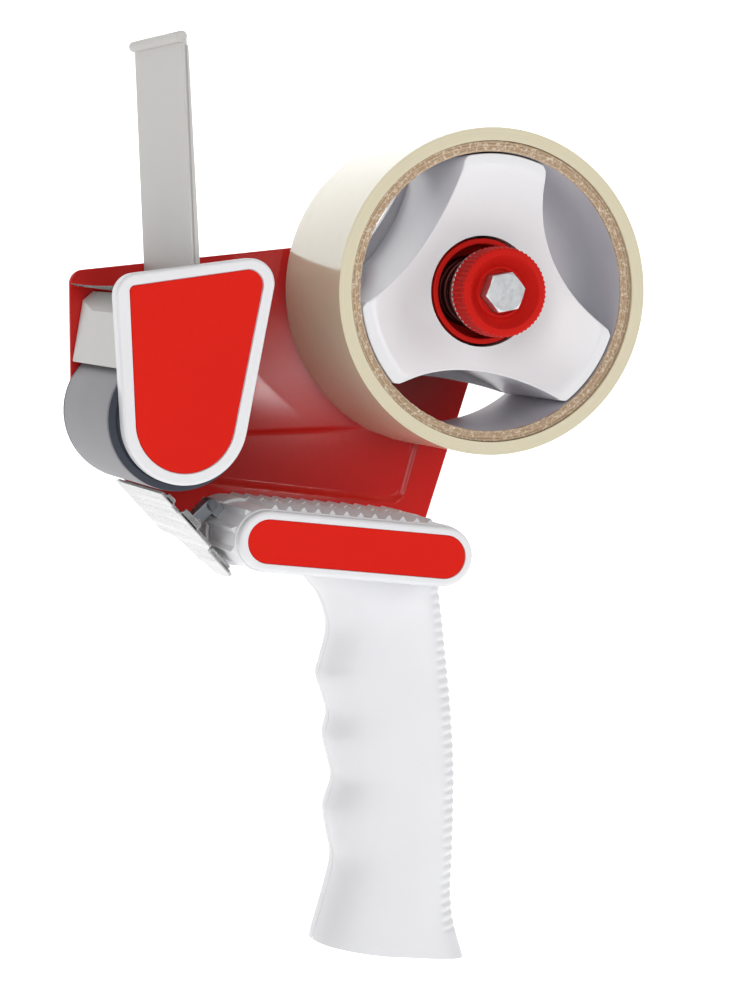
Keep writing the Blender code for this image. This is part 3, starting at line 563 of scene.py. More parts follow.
def at_height(points, z):
    """x of the curve where it passes this height."""
    low, high = 0.0, 1.0
    for _ in range(24):
        middle = (low + high) / 2
        if eased(points, middle)[1] > z:
            low = middle
        else:
            high = middle
    return eased(points, low)[0]


def grip_shell(side, rows=330, around=44):
    """Half of the grip as a bent grid: rows down its length, and across from the front edge to the back."""
    bm = bmesh.new()
    bmesh.ops.create_grid(bm, x_segments=around, y_segments=rows, size=0.5)
    top = 0.0575
    for v in bm.verts:
        across, down = v.co.x + 0.5, 0.5 - v.co.y
        sweep = (1 - cos(pi * across)) / 2
        z_front = top + (BUTT_Z - BUTT_TILT * -0.0215 - top) * down
        z_back = top + (BUTT_Z - BUTT_TILT * 0.0215 - top) * down
        z = z_front + (z_back - z_front) * sweep
        x0, x1 = at_height(GRIP_FRONT, z), at_height(GRIP_BACK, z)
        a = pi * across
        lean = 1 - abs(cos(a)) ** 0.85 * (1 if cos(a) > 0 else -1)
        depth = GRIP_HALF_DEPTH * (1 + 0.1 * down**4) * max(0.0, sin(a)) ** 0.8
        ribbed = clamped((sweep - 0.80) / 0.07) * clamped((z + 0.0490) / 0.0015)
        wave = 0.5 + 0.5 * cos(2 * pi * (z + 0.002) / GRIP_RIB_PITCH)
        pressed = GRIP_RIB_DEPTH * ribbed * (1 - wave**0.7)
        x = x0 + (x1 - x0) * lean / 2 - pressed
        depth = max(0.0, depth - 0.6 * pressed)
        v.co = (x, PARTING_Y + side * (HALF_GAP + depth), z)
    bmesh.ops.holes_fill(bm, edges=[e for e in bm.edges if e.is_boundary], sides=0)
    return outward(bm)


def absorb(bm, other):
    """Adds another closed solid to this one."""
    mesh = bpy.data.meshes.new("part")
    other.to_mesh(mesh)
    other.free()
    bm.from_mesh(mesh)
    bpy.data.meshes.remove(mesh)
    return bm


RIB_PITCH, RIB_HALF_BASE, RIBS_ON_TOP, RIB_FIRST_X = 0.00405, 0.00105, 12, 0.0078


def ridge_places():
    """(x, z, angle) of the line that each ridge of the head stands on."""
    run, fall = HEAD_R[0] - HEAD_L[0], HEAD_R[1] - HEAD_L[1]
    slope = atan2(fall, run)
    up = slope + pi / 2
    places = []
    for k in range(RIBS_ON_TOP):
        x = RIB_FIRST_X - RIB_PITCH * k * cos(slope)
        places.append((x, HEAD_L[1] + (x - HEAD_L[0]) * fall / run, up))
    for k in (1, 2, 3):
        places.append((*HEAD_L, up + k * radians(38)))
    return places


def ridge(x, z, angle, radius, tip, near, far):
    """A three-cornered ridge along Y with a slanted near end."""
    bm = bmesh.new()
    out, along = Vector((cos(angle), 0, sin(angle))), Vector((-sin(angle), 0, cos(angle)))
    foot = Vector((x, near, z)) + out * (radius - 0.0007)
    side = along * RIB_HALF_BASE * 1.5
    corners = [foot - side, foot + out * (tip - radius + 0.0007), foot + side]
    drawn_out(bm, [bm.faces.new([bm.verts.new(c) for c in corners])], (0, far - near, 0))
    return round_off(bm, 0.00012, 2, 20)


def head_tube(radius, near, far, left=HEAD_L, right=HEAD_R, edge=0.0006):
    return round_off(slab([(*left, radius), (*right, radius)], near, far, segments=96), edge, 3)


near_shell = grip_shell(-1)
absorb(near_shell, head_tube(NEAR_BODY_R, HEAD_NEAR + 0.0035, PARTING_Y - HALF_GAP, edge=0.0003))
far_shell = grip_shell(1)
absorb(far_shell, head_tube(NEAR_BODY_R, PARTING_Y + HALF_GAP, SHOULDER_Y + 0.001, edge=0.0003))
absorb(far_shell, head_tube(FAR_BODY_R, SHOULDER_Y, BODY_FAR_Y, edge=0.0004))
absorb(far_shell, head_tube(NECK_R, BODY_FAR_Y - 0.001, HEAD_FAR, (-0.026, 0.0629), (0.004, 0.0594)))
for x, z, angle in ridge_places():
    near_tip, far_tip = NEAR_BODY_R + 0.00125, FAR_BODY_R + 0.0007
    absorb(near_shell, ridge(x, z, angle, NEAR_BODY_R, near_tip, -0.0200, PARTING_Y - HALF_GAP))
    absorb(far_shell, ridge(x, z, angle, NEAR_BODY_R, near_tip, PARTING_Y + HALF_GAP, SHOULDER_Y + 0.001))
    absorb(far_shell, ridge(x, z, angle, FAR_BODY_R, far_tip, SHOULDER_Y + 0.0003, BODY_FAR_Y - 0.0005))
for half, shell in (("near", near_shell), ("far", far_shell)):
    cad_node = f"handle_{half}_shell"
    piece(f"grip_{half}_moulding", shell, white_plastic, "frame", "white_plastic", cad_node, sharp=40)

# ---------------------------------------------------------------- End cap and its red panel
# A rounded moulding pressed on the near end of the head, with a glossy red panel glued into its
# shallow recess. The panel's edge is a hair below the rim.
red_panel = red_coat("red_panel", (0.72, 0.016, 0.008), (0.66, 0.013, 0.007), 0.55, 1100.0, 0.00001, 0.0)
CAP_R, CAP_DEPTH, CAP_RIM = 0.0081, 0.0032, 0.0021


def rimmed_cap(discs, near, far, rim, recess, edge):
    """A slab whose near face has a rounded outer edge and a sunk middle inside a rim of even width."""
    bm = round_off(slab(discs, near, far, segments=128), edge, 5, where=on_near_face(near))
    face = cap_face(bm, near)
    bmesh.ops.inset_region(bm, faces=[face], thickness=rim - edge, use_even_offset=True)
    bmesh.ops.inset_region(bm, faces=[face], thickness=0.0001, use_even_offset=True)
    bmesh.ops.translate(bm, verts=face.verts, vec=(0, recess, 0))
    return outward(bm)


def let_in_panel(discs, rim_near):
    """A thin panel with rounded edges whose face is a hair behind the rim round it."""
    return round_off(slab(discs, rim_near + 0.00015, rim_near + 0.0009, segments=128), 0.00025, 3)


HEAD_DISCS = [(*HEAD_L, CAP_R), (*HEAD_R, CAP_R)]
end_cap = rimmed_cap(HEAD_DISCS, HEAD_NEAR, HEAD_NEAR + CAP_DEPTH, CAP_RIM, 0.0006, 0.0011)
piece("head_end_cap", end_cap, white_plastic, "frame", "white_plastic", "head_cap")
head_panel = let_in_panel(grown(HEAD_DISCS, -CAP_RIM - 0.0001), HEAD_NEAR)
piece("head_red_panel", head_panel, red_panel, "frame", "red_plastic", "head_badge")

# ---------------------------------------------------------------- Side guard
# A tapered off-white cover over the near end of the roller and the blade holder. Its back is hollow,
# its near face has a rim, and a glossy red panel is glued inside the rim. A steel post carries it.
guard_low, guard_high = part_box("side_guard")
GUARD_NEAR, GUARD_FAR = guard_low.y, guard_high.y
GUARD_DISCS = [(-0.0606, 0.0966, 0.0169), (-0.0428, 0.1327, 0.0066), (-0.0734, 0.1296, 0.0060)]
GUARD_PANEL_DISCS = [(-0.0608, 0.0964, 0.0135), (-0.0435, 0.1323, 0.0040), (-0.0742, 0.1308, 0.0015)]
GUARD_WALL = 0.0018


def guard_shell():
    outer = slab(GUARD_DISCS, GUARD_NEAR, GUARD_FAR, segments=128)
    bm = round_off(outer, 0.0009, 5, where=on_near_face(GUARD_NEAR))
    back = cap_face(bm, GUARD_FAR)
    bmesh.ops.inset_region(bm, faces=[back], thickness=GUARD_WALL, use_even_offset=True)
    bmesh.ops.translate(bm, verts=back.verts, vec=(0, -0.0022, 0))
    return bm


guard_recess = slab(grown(GUARD_PANEL_DISCS, 0.0002), GUARD_NEAR - 0.001, GUARD_NEAR + 0.0006, segments=128)
cover = guard_shell()
piece("guard_shell", cover, white_plastic, "frame", "white_plastic", "side_guard", cuts=[guard_recess])
guard_panel = let_in_panel(GUARD_PANEL_DISCS, GUARD_NEAR)
piece("guard_red_panel", guard_panel, red_panel, "frame", "red_plastic", "guard_badge")


def plain_rod(cad_node, name, soften=0.0003):
    """A turned rod that takes its length and radius from its CAD solid, with its ends rounded."""
    low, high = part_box(cad_node)
    x, z, radius = (low.x + high.x) / 2, (low.z + high.z) / 2, (high.x - low.x) / 2
    rod = turned_ring(x, z, 0, radius, low.y, high.y, 40, soften)
    piece(name, rod, zinc, "frame", "zinc_steel", cad_node)


plain_rod("guard_post", "guard_post_turned")

# ---------------------------------------------------------------- Blade holder
# A light warm-grey moulded block that arches over the roller. Its front slopes back at the top, and its
# far front corner is cut away at a slant. The blade is screwed on top.
grey_plastic = satin_plastic("grey_plastic", (0.58, 0.565, 0.545), (0.52, 0.505, 0.485), 0.5, 0.00003)
roller_at = Vector(joints["roller_spin"]["pos_m"])
holder_low, holder_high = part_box("blade_holder")
ROLLER_R = 0.01915
ARCH_R = ROLLER_R + 0.00185


def drawn_bar(outline, near, far, edge=0.0):
    """An (x, z) outline drawn out along Y, with its edges rounded."""
    bm = bmesh.new()
    drawn_out(bm, [bm.faces.new([bm.verts.new((x, near, z)) for x, z in outline])], (0, far - near, 0))
    return round_off(bm, edge, 3, 30) if edge else bm


def holder_block():
    """The arched block, with its far front corner cut off by the plane through three points."""
    outline = []
    for k in range(25):
        a = radians(90 + (139.6 - 90) * k / 24)
        outline.append((roller_at.x + ARCH_R * cos(a), roller_at.z + ARCH_R * sin(a)))
    outline += [(-0.0777, 0.1105), (-0.0777, 0.1250), (-0.0718, 0.1299), (-0.0620, 0.1287)]
    bm = drawn_bar(outline, holder_low.y, holder_high.y)
    a, b, c = map(Vector, ((-0.0777, 0.009, 0.125), (-0.0777, 0.031, 0.1118), (-0.0753, 0.031, 0.125)))
    square = (b - a).cross(c - a).normalized()
    square = -square if square.x > 0 else square
    geom = bm.verts[:] + bm.edges[:] + bm.faces[:]
    bmesh.ops.bisect_plane(bm, geom=geom, plane_co=a, plane_no=square, clear_outer=True)
    bmesh.ops.holes_fill(bm, edges=[e for e in bm.edges if e.is_boundary], sides=0)
    outward(bm)
    bmesh.ops.dissolve_limit(bm, angle_limit=radians(0.3), verts=bm.verts, edges=bm.edges)
    return round_off(bm, 0.00022, 2, 25)


piece("blade_holder_block", holder_block(), grey_plastic, "frame", "grey_plastic", "blade_holder")

# ---------------------------------------------------------------- Blade
# A strip of bright hardened steel, half a millimetre thick, with ground saw teeth along its front edge
# and a slight bow. Two countersunk screws hold it to the block.
blade_low, blade_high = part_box("blade")
TOOTH_PITCH, TOOTH_DEPTH, BLADE_T, BLADE_FALL = 0.0016, 0.0012, 0.00055, 0.129
BLADE_BOW = 0.0003


def saw_strip():
    bm = bmesh.new()
    teeth = round((blade_high.y - blade_low.y) / TOOTH_PITCH)
    edge_z = blade_high.z

    def spot(x, y):
        bow = BLADE_BOW * (1 - (2 * (y - blade_low.y) / (blade_high.y - blade_low.y) - 1) ** 2)
        return bm.verts.new((x, y, edge_z - BLADE_FALL * (x - blade_low.x) - bow))

    front = []
    for k in range(teeth):
        y = blade_low.y + TOOTH_PITCH * k
        front += [spot(blade_low.x + TOOTH_DEPTH, y), spot(blade_low.x, y + TOOTH_PITCH / 2)]
    front.append(spot(blade_low.x + TOOTH_DEPTH, blade_low.y + TOOTH_PITCH * teeth))
    middle = [spot(blade_low.x + TOOTH_DEPTH * 2.2, v.co.y) for v in front]
    back = [spot(blade_high.x, v.co.y) for v in front]
    for rows in ((front, middle), (middle, back)):
        for k in range(len(front) - 1):
            bm.faces.new((rows[0][k], rows[0][k + 1], rows[1][k + 1], rows[1][k]))
    outward(bm)
    if bm.faces[0].normal.z < 0:
        bmesh.ops.reverse_faces(bm, faces=bm.faces)
    for v in drawn_out(bm, bm.faces[:], (0, 0, -BLADE_T)):
        if v.co.x < blade_low.x + TOOTH_DEPTH * 0.5:
            v.co.z += BLADE_T * 0.85
    return outward(bm)


piece("saw_blade", saw_strip(), bright_steel, "frame", "bright_steel", "blade", sharp=15)


def refinish(cad_node, look):
    """Keeps the CAD solid itself and gives it this finish."""
    materials = frame["nodes"][cad_node].data.materials
    materials.clear()
    materials.append(look)


for cad_node in ("blade_screw_1", "blade_screw_2"):
    refinish(cad_node, zinc)

# ---------------------------------------------------------------- Roller
# A ground grey rubber sleeve on a plastic core, between two dark end discs. It turns on a steel axle
# whose far end is headed over behind the plate.


def ground_rubber():
    """Grey rubber with fine grinding rings, a slow drift of tone and a dull sheen."""
    made, tree, shader = shader_of("ground_rubber")
    rings = placed(tree, hair_scratches, {"Scale": 500.0, "Stretch": 6.0})
    tone = placed(tree, surface_grain, {"Grain Scale": 1600.0, "Tone Scale": 30.0})["Tone"]
    fed(tree, shader, {
        "Base Color": mixed(tree, tone, (0.21, 0.205, 0.22), (0.27, 0.265, 0.28)),
        "Roughness": ranged(tree, tone, 0.5, 0.62, 0.3, 0.7),
        "Normal": bump(tree, rings["Brushing"], 0.00002),
    })
    return made


rubber = ground_rubber()
navy_plastic = satin_plastic("navy_plastic", (0.040, 0.048, 0.068), (0.028, 0.033, 0.048), 0.4)
tyre_low, tyre_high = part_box("roller_tyre")
disc_low, disc_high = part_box("roller_disc_near")
far_low, far_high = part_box("roller_disc_far")
TYRE_BORE, DISC_BORE, DISC_R = 0.0158, 0.00325, ROLLER_R - 0.0001
ROLLER_AXIS = roller_at.x, roller_at.z
roller_sleeve = turned_ring(*ROLLER_AXIS, TYRE_BORE, ROLLER_R, tyre_low.y, tyre_high.y, 160, 0.0004)
piece("roller_rubber_sleeve", roller_sleeve, rubber, "roller", "rubber", "roller_tyre")
disc_ends = {"roller_disc_near": (disc_low.y, disc_high.y), "roller_disc_far": (far_high.y, far_low.y)}
for cad_node, (outer, inner) in disc_ends.items():
    into = 0.0004 if inner > outer else -0.0004
    groove = outer + into * 0.6
    profile = [(DISC_BORE, outer + into), (0.0060, outer + into), (0.0066, outer), (DISC_R - 0.0034, outer)]
    profile += [(DISC_R - 0.0030, groove), (DISC_R - 0.0024, groove), (DISC_R - 0.0020, outer)]
    profile += [(DISC_R, outer), (DISC_R, inner), (DISC_BORE, inner)]
    disc_solid = turned(profile, *ROLLER_AXIS, 128, closed=True, soften=0.00018)
    piece(cad_node + "_moulding", disc_solid, navy_plastic, "roller", "navy_plastic", cad_node)
refinish("roller_core", grey_plastic)
axle_low, axle_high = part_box("roller_axle")
AXLE_R, AXLE_HEAD_R = 0.0030, 0.0054
HEAD_START = PLATE_BACK + 0.0003
axle = [(0, axle_low.y), (AXLE_R, axle_low.y), (AXLE_R, HEAD_START), (AXLE_HEAD_R, HEAD_START)]
axle += [(AXLE_HEAD_R, axle_high.y - 0.0012), (AXLE_HEAD_R * 0.75, axle_high.y - 0.0004), (0, axle_high.y)]
axle_solid = turned(axle, *ROLLER_AXIS, 48, soften=0.0002)
piece("roller_axle_turned", axle_solid, zinc, "frame", "zinc_steel", "roller_axle")

# ---------------------------------------------------------------- Wiper flap
# A tall springy strip of light grey plastic with a round bead along its top and a stiffening flange down
# each side. Its foot is a knuckle that turns on a steel pin, and a coil spring brings it back upright.
flap_at = Vector(joints["flap_swing"]["pos_m"])
flap_low, flap_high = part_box("wiper_flap")
FLAP_LEAN, FLAP_T, FLAP_FOOT_Z, FLAP_TOP_Z = -0.038, 0.0012, 0.1260, 0.1966
BEAD_X, BEAD_Z, BEAD_R, KNUCKLE_R, PIN_R = -0.0597, 0.1972, 0.0015, 0.0029, 0.0015
FLAP_NEAR, FLAP_FAR, FLANGE_W = flap_low.y, flap_high.y, 0.0013


def flap_x(z):
    return flap_at.x - 0.0005 + FLAP_LEAN * (z - flap_at.z)


def upright(foot_z, top_z, in_front, behind_foot, behind_top):
    """A four-cornered section that leans with the flap, between two distances from its front."""
    foot, top = flap_x(foot_z), flap_x(top_z)
    return [
        (foot + in_front, foot_z), (foot + behind_foot, foot_z),
        (top + behind_top, top_z), (top + in_front, top_z),
    ]


web = upright(FLAP_FOOT_Z, FLAP_TOP_Z, 0.0, FLAP_T, FLAP_T)
flap = drawn_bar(web, FLAP_NEAR, FLAP_FAR, 0.00015)
for near in (FLAP_NEAR, FLAP_FAR - FLANGE_W):
    absorb(flap, drawn_bar(upright(0.126, 0.195, 0.0004, 0.0024, 0.0016), near, near + FLANGE_W, 0.0002))
absorb(flap, turned_ring(BEAD_X, BEAD_Z, 0, BEAD_R, FLAP_NEAR, FLAP_FAR, 32, 0.0003))
for near, far in ((FLAP_NEAR, 0.0020), (0.0140, FLAP_FAR)):
    absorb(flap, turned_ring(flap_at.x, flap_at.z, PIN_R + 0.0002, KNUCKLE_R, near, far, 40, 0.0002))
piece("flap_moulding", flap, grey_plastic, "flap", "grey_plastic", "wiper_flap")
plain_rod("flap_pin", "flap_pin_turned")


def coil_spring(name, x, z, radius, wire, near, far, turns, body, cad_node, look=spring_steel):
    """Round spring wire wound along Y, with its end coils closed up."""
    curve = bpy.data.curves.new(name, "CURVE")
    curve.dimensions = "3D"
    curve.bevel_depth = wire
    curve.bevel_resolution = 4
    curve.use_fill_caps = True
    per_turn = 32
    count = int(turns * per_turn)
    points = []
    for k in range(count + 1):
        share = k / count
        closed = 0.5 - 0.5 * cos(pi * clamped((share * turns - 0.5) / (turns - 1.0)))
        a = 2 * pi * k / per_turn
        points.append(Vector((x + radius * cos(a), near + (far - near) * closed, z + radius * sin(a))))
    spline = curve.splines.new("POLY")
    spline.points.add(len(points) - 1)
    for spot, co in zip(spline.points, points):
        spot.co = (*co, 1.0)
    made = linked(bpy.data.objects.new(name + "_curve", curve))
    graph = bpy.context.evaluated_depsgraph_get()
    mesh = bpy.data.meshes.new_from_object(made.evaluated_get(graph))
    bpy.data.objects.remove(made)
    bm = bmesh.new()
    bm.from_mesh(mesh)
    bmesh.ops.remove_doubles(bm, verts=bm.verts, dist=1e-7)
    outward(bm)
    return piece(name, bm, look, body, "spring_steel", cad_node)


coil_spring("flap_coil", flap_at.x, flap_at.z, 0.0024, 0.00035, 0.0030, 0.0130, 9, "frame", "flap_spring")

# ---------------------------------------------------------------- Tape guide
# Bright rolled sheet steel, narrowed below, with two tabs and a flange bent up along its near edge. It
# swings on a pin through a cranked dark steel arm, and a small coil spring holds it against the roller.
guide_pin_at = Vector(joints["guide_swing"]["pos_m"])
GUIDE_TOP, GUIDE_SLOPE, GUIDE_T = (-0.0656, 0.0775), radians(-47.7), 0.0010
along_x, along_z = cos(GUIDE_SLOPE), sin(GUIDE_SLOPE)


def on_guide(along, above=0.0):
    """(x, z) of a point of the guide's section: along it from its top edge, and above it towards the head."""
    x = GUIDE_TOP[0] + along * along_x - above * along_z
    return (x, GUIDE_TOP[1] + along * along_z + above * along_x)


def guide_plate(outline, low, high, edge=0.0002):
    """A flat blank in the guide's plane, from (along, y) points, between two heights above it."""
    bm = bmesh.new()
    face = bm.faces.new([bm.verts.new((on_guide(s, low)[0], y, on_guide(s, low)[1])) for s, y in outline])
    drawn_out(bm, [face], (-(high - low) * along_z, 0, (high - low) * along_x))
    return round_off(bm, edge, 2, 30)


GUIDE_NEAR, GUIDE_FAR = -0.0166, 0.0316
BLANK = [(0, GUIDE_NEAR), (0.0046, GUIDE_NEAR), (0.0049, -0.0146), (0.0070, -0.0146)]
BLANK += [(0.0073, GUIDE_NEAR), (0.0196, GUIDE_NEAR), (0.0206, -0.0140), (0.0220, -0.0095)]
BLANK += [(0.0230, -0.0090), (0.0306, -0.0090), (0.0322, -0.0070), (0.0332, 0.0), (0.0332, 0.0090)]
BLANK += [(0.0226, 0.0170), (0.0210, 0.0186), (0.0204, 0.0200), (0.0194, 0.0310), (0.0186, GUIDE_FAR)]
BLANK += [(0, GUIDE_FAR)]
guide = guide_plate(BLANK, -GUIDE_T / 2, GUIDE_T / 2)
# Each bent edge: where it starts and ends along the guide, its near side, how far it stands up, its rounding.
for start, end, near, up, edge in (
    (0.0015, 0.0042, GUIDE_NEAR, 0.0013, 0.0002),
    (0.0077, 0.0138, GUIDE_NEAR, 0.0019, 0.0002),
    (0.0223, 0.0299, -0.0090, 0.00135, 0.0004),
):
    bent = [(start, near), (end, near), (end, near + GUIDE_T), (start, near + GUIDE_T)]
    absorb(guide, guide_plate(bent, -0.0003, up, edge))
EAR_R, EAR_T = 0.0019, 0.0010
for near in (-0.0020, 0.0082):
    foot = [(*on_guide(along, 0.0002), 0.0006) for along in (0.0147, 0.0177)]
    ear = slab([(guide_pin_at.x, guide_pin_at.z, EAR_R), *foot], near, near + EAR_T, segments=40)
    absorb(guide, round_off(ear, 0.00015, 2))
piece("guide_sheet", guide, bright_steel, "guide", "bright_steel", "tape_guide")
ARM_R, ARM_NEAR, ARM_FAR = 0.00175, -0.0003, 0.0053
ARM_TIP, ARM_BEND, ARM_ROOT = (guide_pin_at.x, guide_pin_at.z), (-0.0472, 0.0724), (-0.0390, 0.0646)


def arm_leg(start, end):
    leg = slab([(*start, ARM_R), (*end, ARM_R)], ARM_NEAR, ARM_FAR, segments=48)
    return round_off(leg, 0.0002, 2)


arm = absorb(arm_leg(ARM_TIP, ARM_BEND), arm_leg(ARM_BEND, ARM_ROOT))
piece("guide_crank_arm", arm, dark_steel, "frame", "dark_steel", "guide_arm")
plain_rod("guide_pin", "guide_pin_turned", 0.0002)
coil_spring("guide_coil", *ARM_TIP, 0.0017, 0.0003, 0.0061, 0.0075, 3, "frame", "guide_spring")

# ---------------------------------------------------------------- Spindle
# A turned steel post with a flange against the plate and a threaded stem through it. Its bore takes
# the brake bolt.
hub_at = Vector(joints["hub_spin"]["pos_m"])
SPINDLE_R, SPINDLE_BORE, FLANGE_R, STEM_R = 0.0070, 0.0033, 0.0110, 0.0050
HUB_AXIS = hub_at.x, hub_at.z
FLANGE_NEAR, BORE_END, STEM_START = 0.0300, 0.0200, PLATE_NEAR - 0.0003
spindle = [(0, BORE_END), (SPINDLE_BORE, BORE_END), (SPINDLE_BORE, spindle_low.y), (SPINDLE_R, spindle_low.y)]
spindle += [(SPINDLE_R, FLANGE_NEAR), (FLANGE_R, FLANGE_NEAR), (FLANGE_R, STEM_START), (STEM_R, STEM_START)]
spindle += [(STEM_R, spindle_high.y), (0, spindle_high.y)]
spindle_solid = turned(spindle, *HUB_AXIS, 64, soften=0.0003)
piece("spindle_turned", spindle_solid, zinc, "frame", "zinc_steel", "spindle")

# ---------------------------------------------------------------- Hub
# A satin off-white moulding with three lobes that grip the core and wide hollows between them. Its near
# face sinks towards a counterbore for the brake, and its rear flange is a second three-lobed plate.
LOBES, LOBE_ANGLE, LOBE_HALF = 3, 83.5, 19.3
LOBE_R, WAIST_R, FLANGE_WAIST_R = 0.0376, 0.0220, 0.0250
DISH_START_R, DISH_END_R, BUSH_INNER_R = 0.0160, 0.0345, 0.00725
hub_low, hub_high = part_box("hub_body")
flange_low, flange_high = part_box("hub_flange")
HUB_NEAR, HUB_FAR, HUB_DISH = hub_low.y, hub_high.y, 0.0066
BRAKE_BORE_R, BUSH_BORE_R, BRAKE_FLOOR = 0.0153, 0.0093, 0.0074


def lobed_outline(radius, waist, corner, points=28):
    """(x, z) points about the axis: each lobe an arc about it, each hollow a wide arc between two lobes."""
    half = radians(180 / LOBES - LOBE_HALF)
    far_u, far_v = corner * cos(half), corner * sin(half)
    hollow_r = ((far_u - waist) ** 2 + far_v**2) / (2 * (far_u - waist))
    centre = waist + hollow_r
    spread = atan2(far_v, centre - far_u)
    outline = []
    for lobe in range(LOBES):
        middle = LOBE_ANGLE + 360 / LOBES * lobe
        for k in range(points):
            turn = radians(middle - LOBE_HALF + 2.0 + (2 * LOBE_HALF - 4.0) * k / (points - 1))
            outline.append((radius * cos(turn), radius * sin(turn)))
        turn = radians(middle + 180 / LOBES)
        for k in range(points + 2):
            a = pi + spread - 2 * spread * k / (points + 1)
            u, v = centre + hollow_r * cos(a), hollow_r * sin(a)
            outline.append((u * cos(turn) - v * sin(turn), u * sin(turn) + v * cos(turn)))
    return outline


def dish_depth(r):
    """How far the near face is sunk at this distance from the axis: flat by the bore, rising to the lobes."""
    share = clamped((r - DISH_START_R) / (DISH_END_R - DISH_START_R))
    return HUB_DISH * (1 - share**1.5)


def lobed_solid(outline, near, far, bore, dished, edge):
    """Rings of vertices from the outline in to the bore, then a wall back to the far face."""
    bm = bmesh.new()
    rings = 26 if dished else 2
    loops = []
    for ring in range(rings + 1):
        share = ring / rings
        loop = []
        for u, v in outline:
            r = hypot(u, v)
            held = r + (bore - r) * share
            depth = dish_depth(held) if dished else 0.0
            loop.append(bm.verts.new((hub_at.x + u * held / r, near + depth, hub_at.z + v * held / r)))
        loops.append(loop)
    back = [[bm.verts.new((v.co.x, far, v.co.z)) for v in loops[k]] for k in (0, -1)]
    walls = [back[0], *loops, back[1]]
    for one, two in zip(walls, walls[1:] + walls[:1]):
        for k in range(len(one)):
            n = (k + 1) % len(one)
            bm.faces.new((one[k], one[n], two[n], two[k]))
    outward(bm)
    return round_off(bm, edge, 4, 38)


hub_outline = lobed_outline(LOBE_R, WAIST_R, LOBE_R - 0.0012)
hub = lobed_solid(hub_outline, HUB_NEAR, HUB_FAR, BUSH_BORE_R, True, 0.0011)
counterbore = turned_ring(*HUB_AXIS, 0, BRAKE_BORE_R, HUB_NEAR - 0.004, BRAKE_FLOOR, 128)
hub_plastic = satin_plastic("hub_plastic", (0.84, 0.84, 0.855), (0.79, 0.79, 0.815), 0.25)
piece("hub_lobes", hub, hub_plastic, "hub", "white_plastic", "hub_body", cuts=[counterbore])
flange_outline = lobed_outline(LOBE_R - 0.0002, FLANGE_WAIST_R, LOBE_R - 0.0014)
flange = lobed_solid(flange_outline, flange_low.y, flange_high.y, BUSH_BORE_R, False, 0.0005)
piece("hub_rear_flange", flange, hub_plastic, "hub", "white_plastic", "hub_flange")
bush_low, bush_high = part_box("hub_bush")
bush = turned_ring(*HUB_AXIS, BUSH_INNER_R, BUSH_BORE_R - 0.0003, bush_low.y, bush_high.y, 64, 0.0002)
piece("hub_bush_turned", bush, navy_plastic, "hub", "navy_plastic", "hub_bush")

# ---------------------------------------------------------------- Roll of tape
# A wound cardboard core, brown and layered at its cut ends with a frayed inner lip and a pale liner,
# and clear tape wound on it, cream at its cut face. It slides off the hub towards the near side.
core_low, core_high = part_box("tape_core")
tape_low, tape_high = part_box("tape_roll")
CORE_BORE_R, CORE_R, TAPE_BORE_R, TAPE_R = 0.0381, 0.0409, 0.04105, (tape_high.x - tape_low.x) / 2


def make_wound_layers():
    """Thin rings about the roll's axis: one value that steps from layer to layer, and a fibrous one."""
    sizes = {"Layers": 3200.0, "Waver": 0.00012, "Fibre Scale": 900.0}
    tree, start, end = group("wound_layers", sizes, ("Layer", "Fibre"))
    where = node(tree, "ShaderNodeTexCoord").outputs["Object"]
    axis = (hub_at.x, 0, hub_at.z)
    centred = node(tree, "ShaderNodeVectorMath", {0: where, 1: axis}, operation="SUBTRACT").outputs[0]
    flat = node(tree, "ShaderNodeVectorMath", {0: centred, 1: (1, 0, 1)}, operation="MULTIPLY").outputs[0]
    radius = node(tree, "ShaderNodeVectorMath", {0: flat}, operation="LENGTH").outputs["Value"]
    shift = worked(tree, "MULTIPLY_ADD", clouds(tree, where, 150.0, 2.0), start.outputs["Waver"], radius)
    count = worked(tree, "MULTIPLY", shift, start.outputs["Layers"])
    along = {"W": count, "Scale": 1.0, "Detail": 2.0}
    layer = node(tree, "ShaderNodeTexNoise", along, noise_dimensions="1D")
    fibre = clouds(tree, where, start.outputs["Fibre Scale"], 4.0, 0.7)
    fed(tree, end, {"Layer": layer.outputs["Fac"], "Fibre": fibre})
    return tree


wound_layers = make_wound_layers()


def cardboard_edge():
    """Brown board in thin layers, with paler torn fibres."""
    made, tree, shader = shader_of("cardboard_edge")
    wound = placed(tree, wound_layers, {"Layers": 3600.0, "Waver": 0.0009, "Fibre Scale": 1400.0})
    layer = ranged(tree, wound["Layer"], 0.0, 1.0, 0.35, 0.65)
    board = mixed(tree, layer, (0.30, 0.19, 0.105), (0.62, 0.46, 0.31))
    frayed = ranged(tree, wound["Fibre"], 0.0, 1.0, 0.50, 0.66)
    fed(tree, shader, {
        "Base Color": mixed(tree, frayed, board, (0.80, 0.69, 0.55)),
        "Roughness": 0.92,
        "Normal": bump(tree, worked(tree, "ADD", wound["Fibre"], wound["Layer"]), 0.00022),
    })
    return made


def mottled(name, grain_scale, tone_scale, shown, one, two, roughness, depth):
    """A dull surface between two colours, by its grain or by its tone."""
    made, tree, shader = shader_of(name)
    grain = placed(tree, surface_grain, {"Grain Scale": grain_scale, "Tone Scale": tone_scale})
    fed(tree, shader, {
        "Base Color": mixed(tree, grain[shown], one, two),
        "Roughness": roughness,
        "Normal": bump(tree, grain["Grain"], depth),
    })
    return made


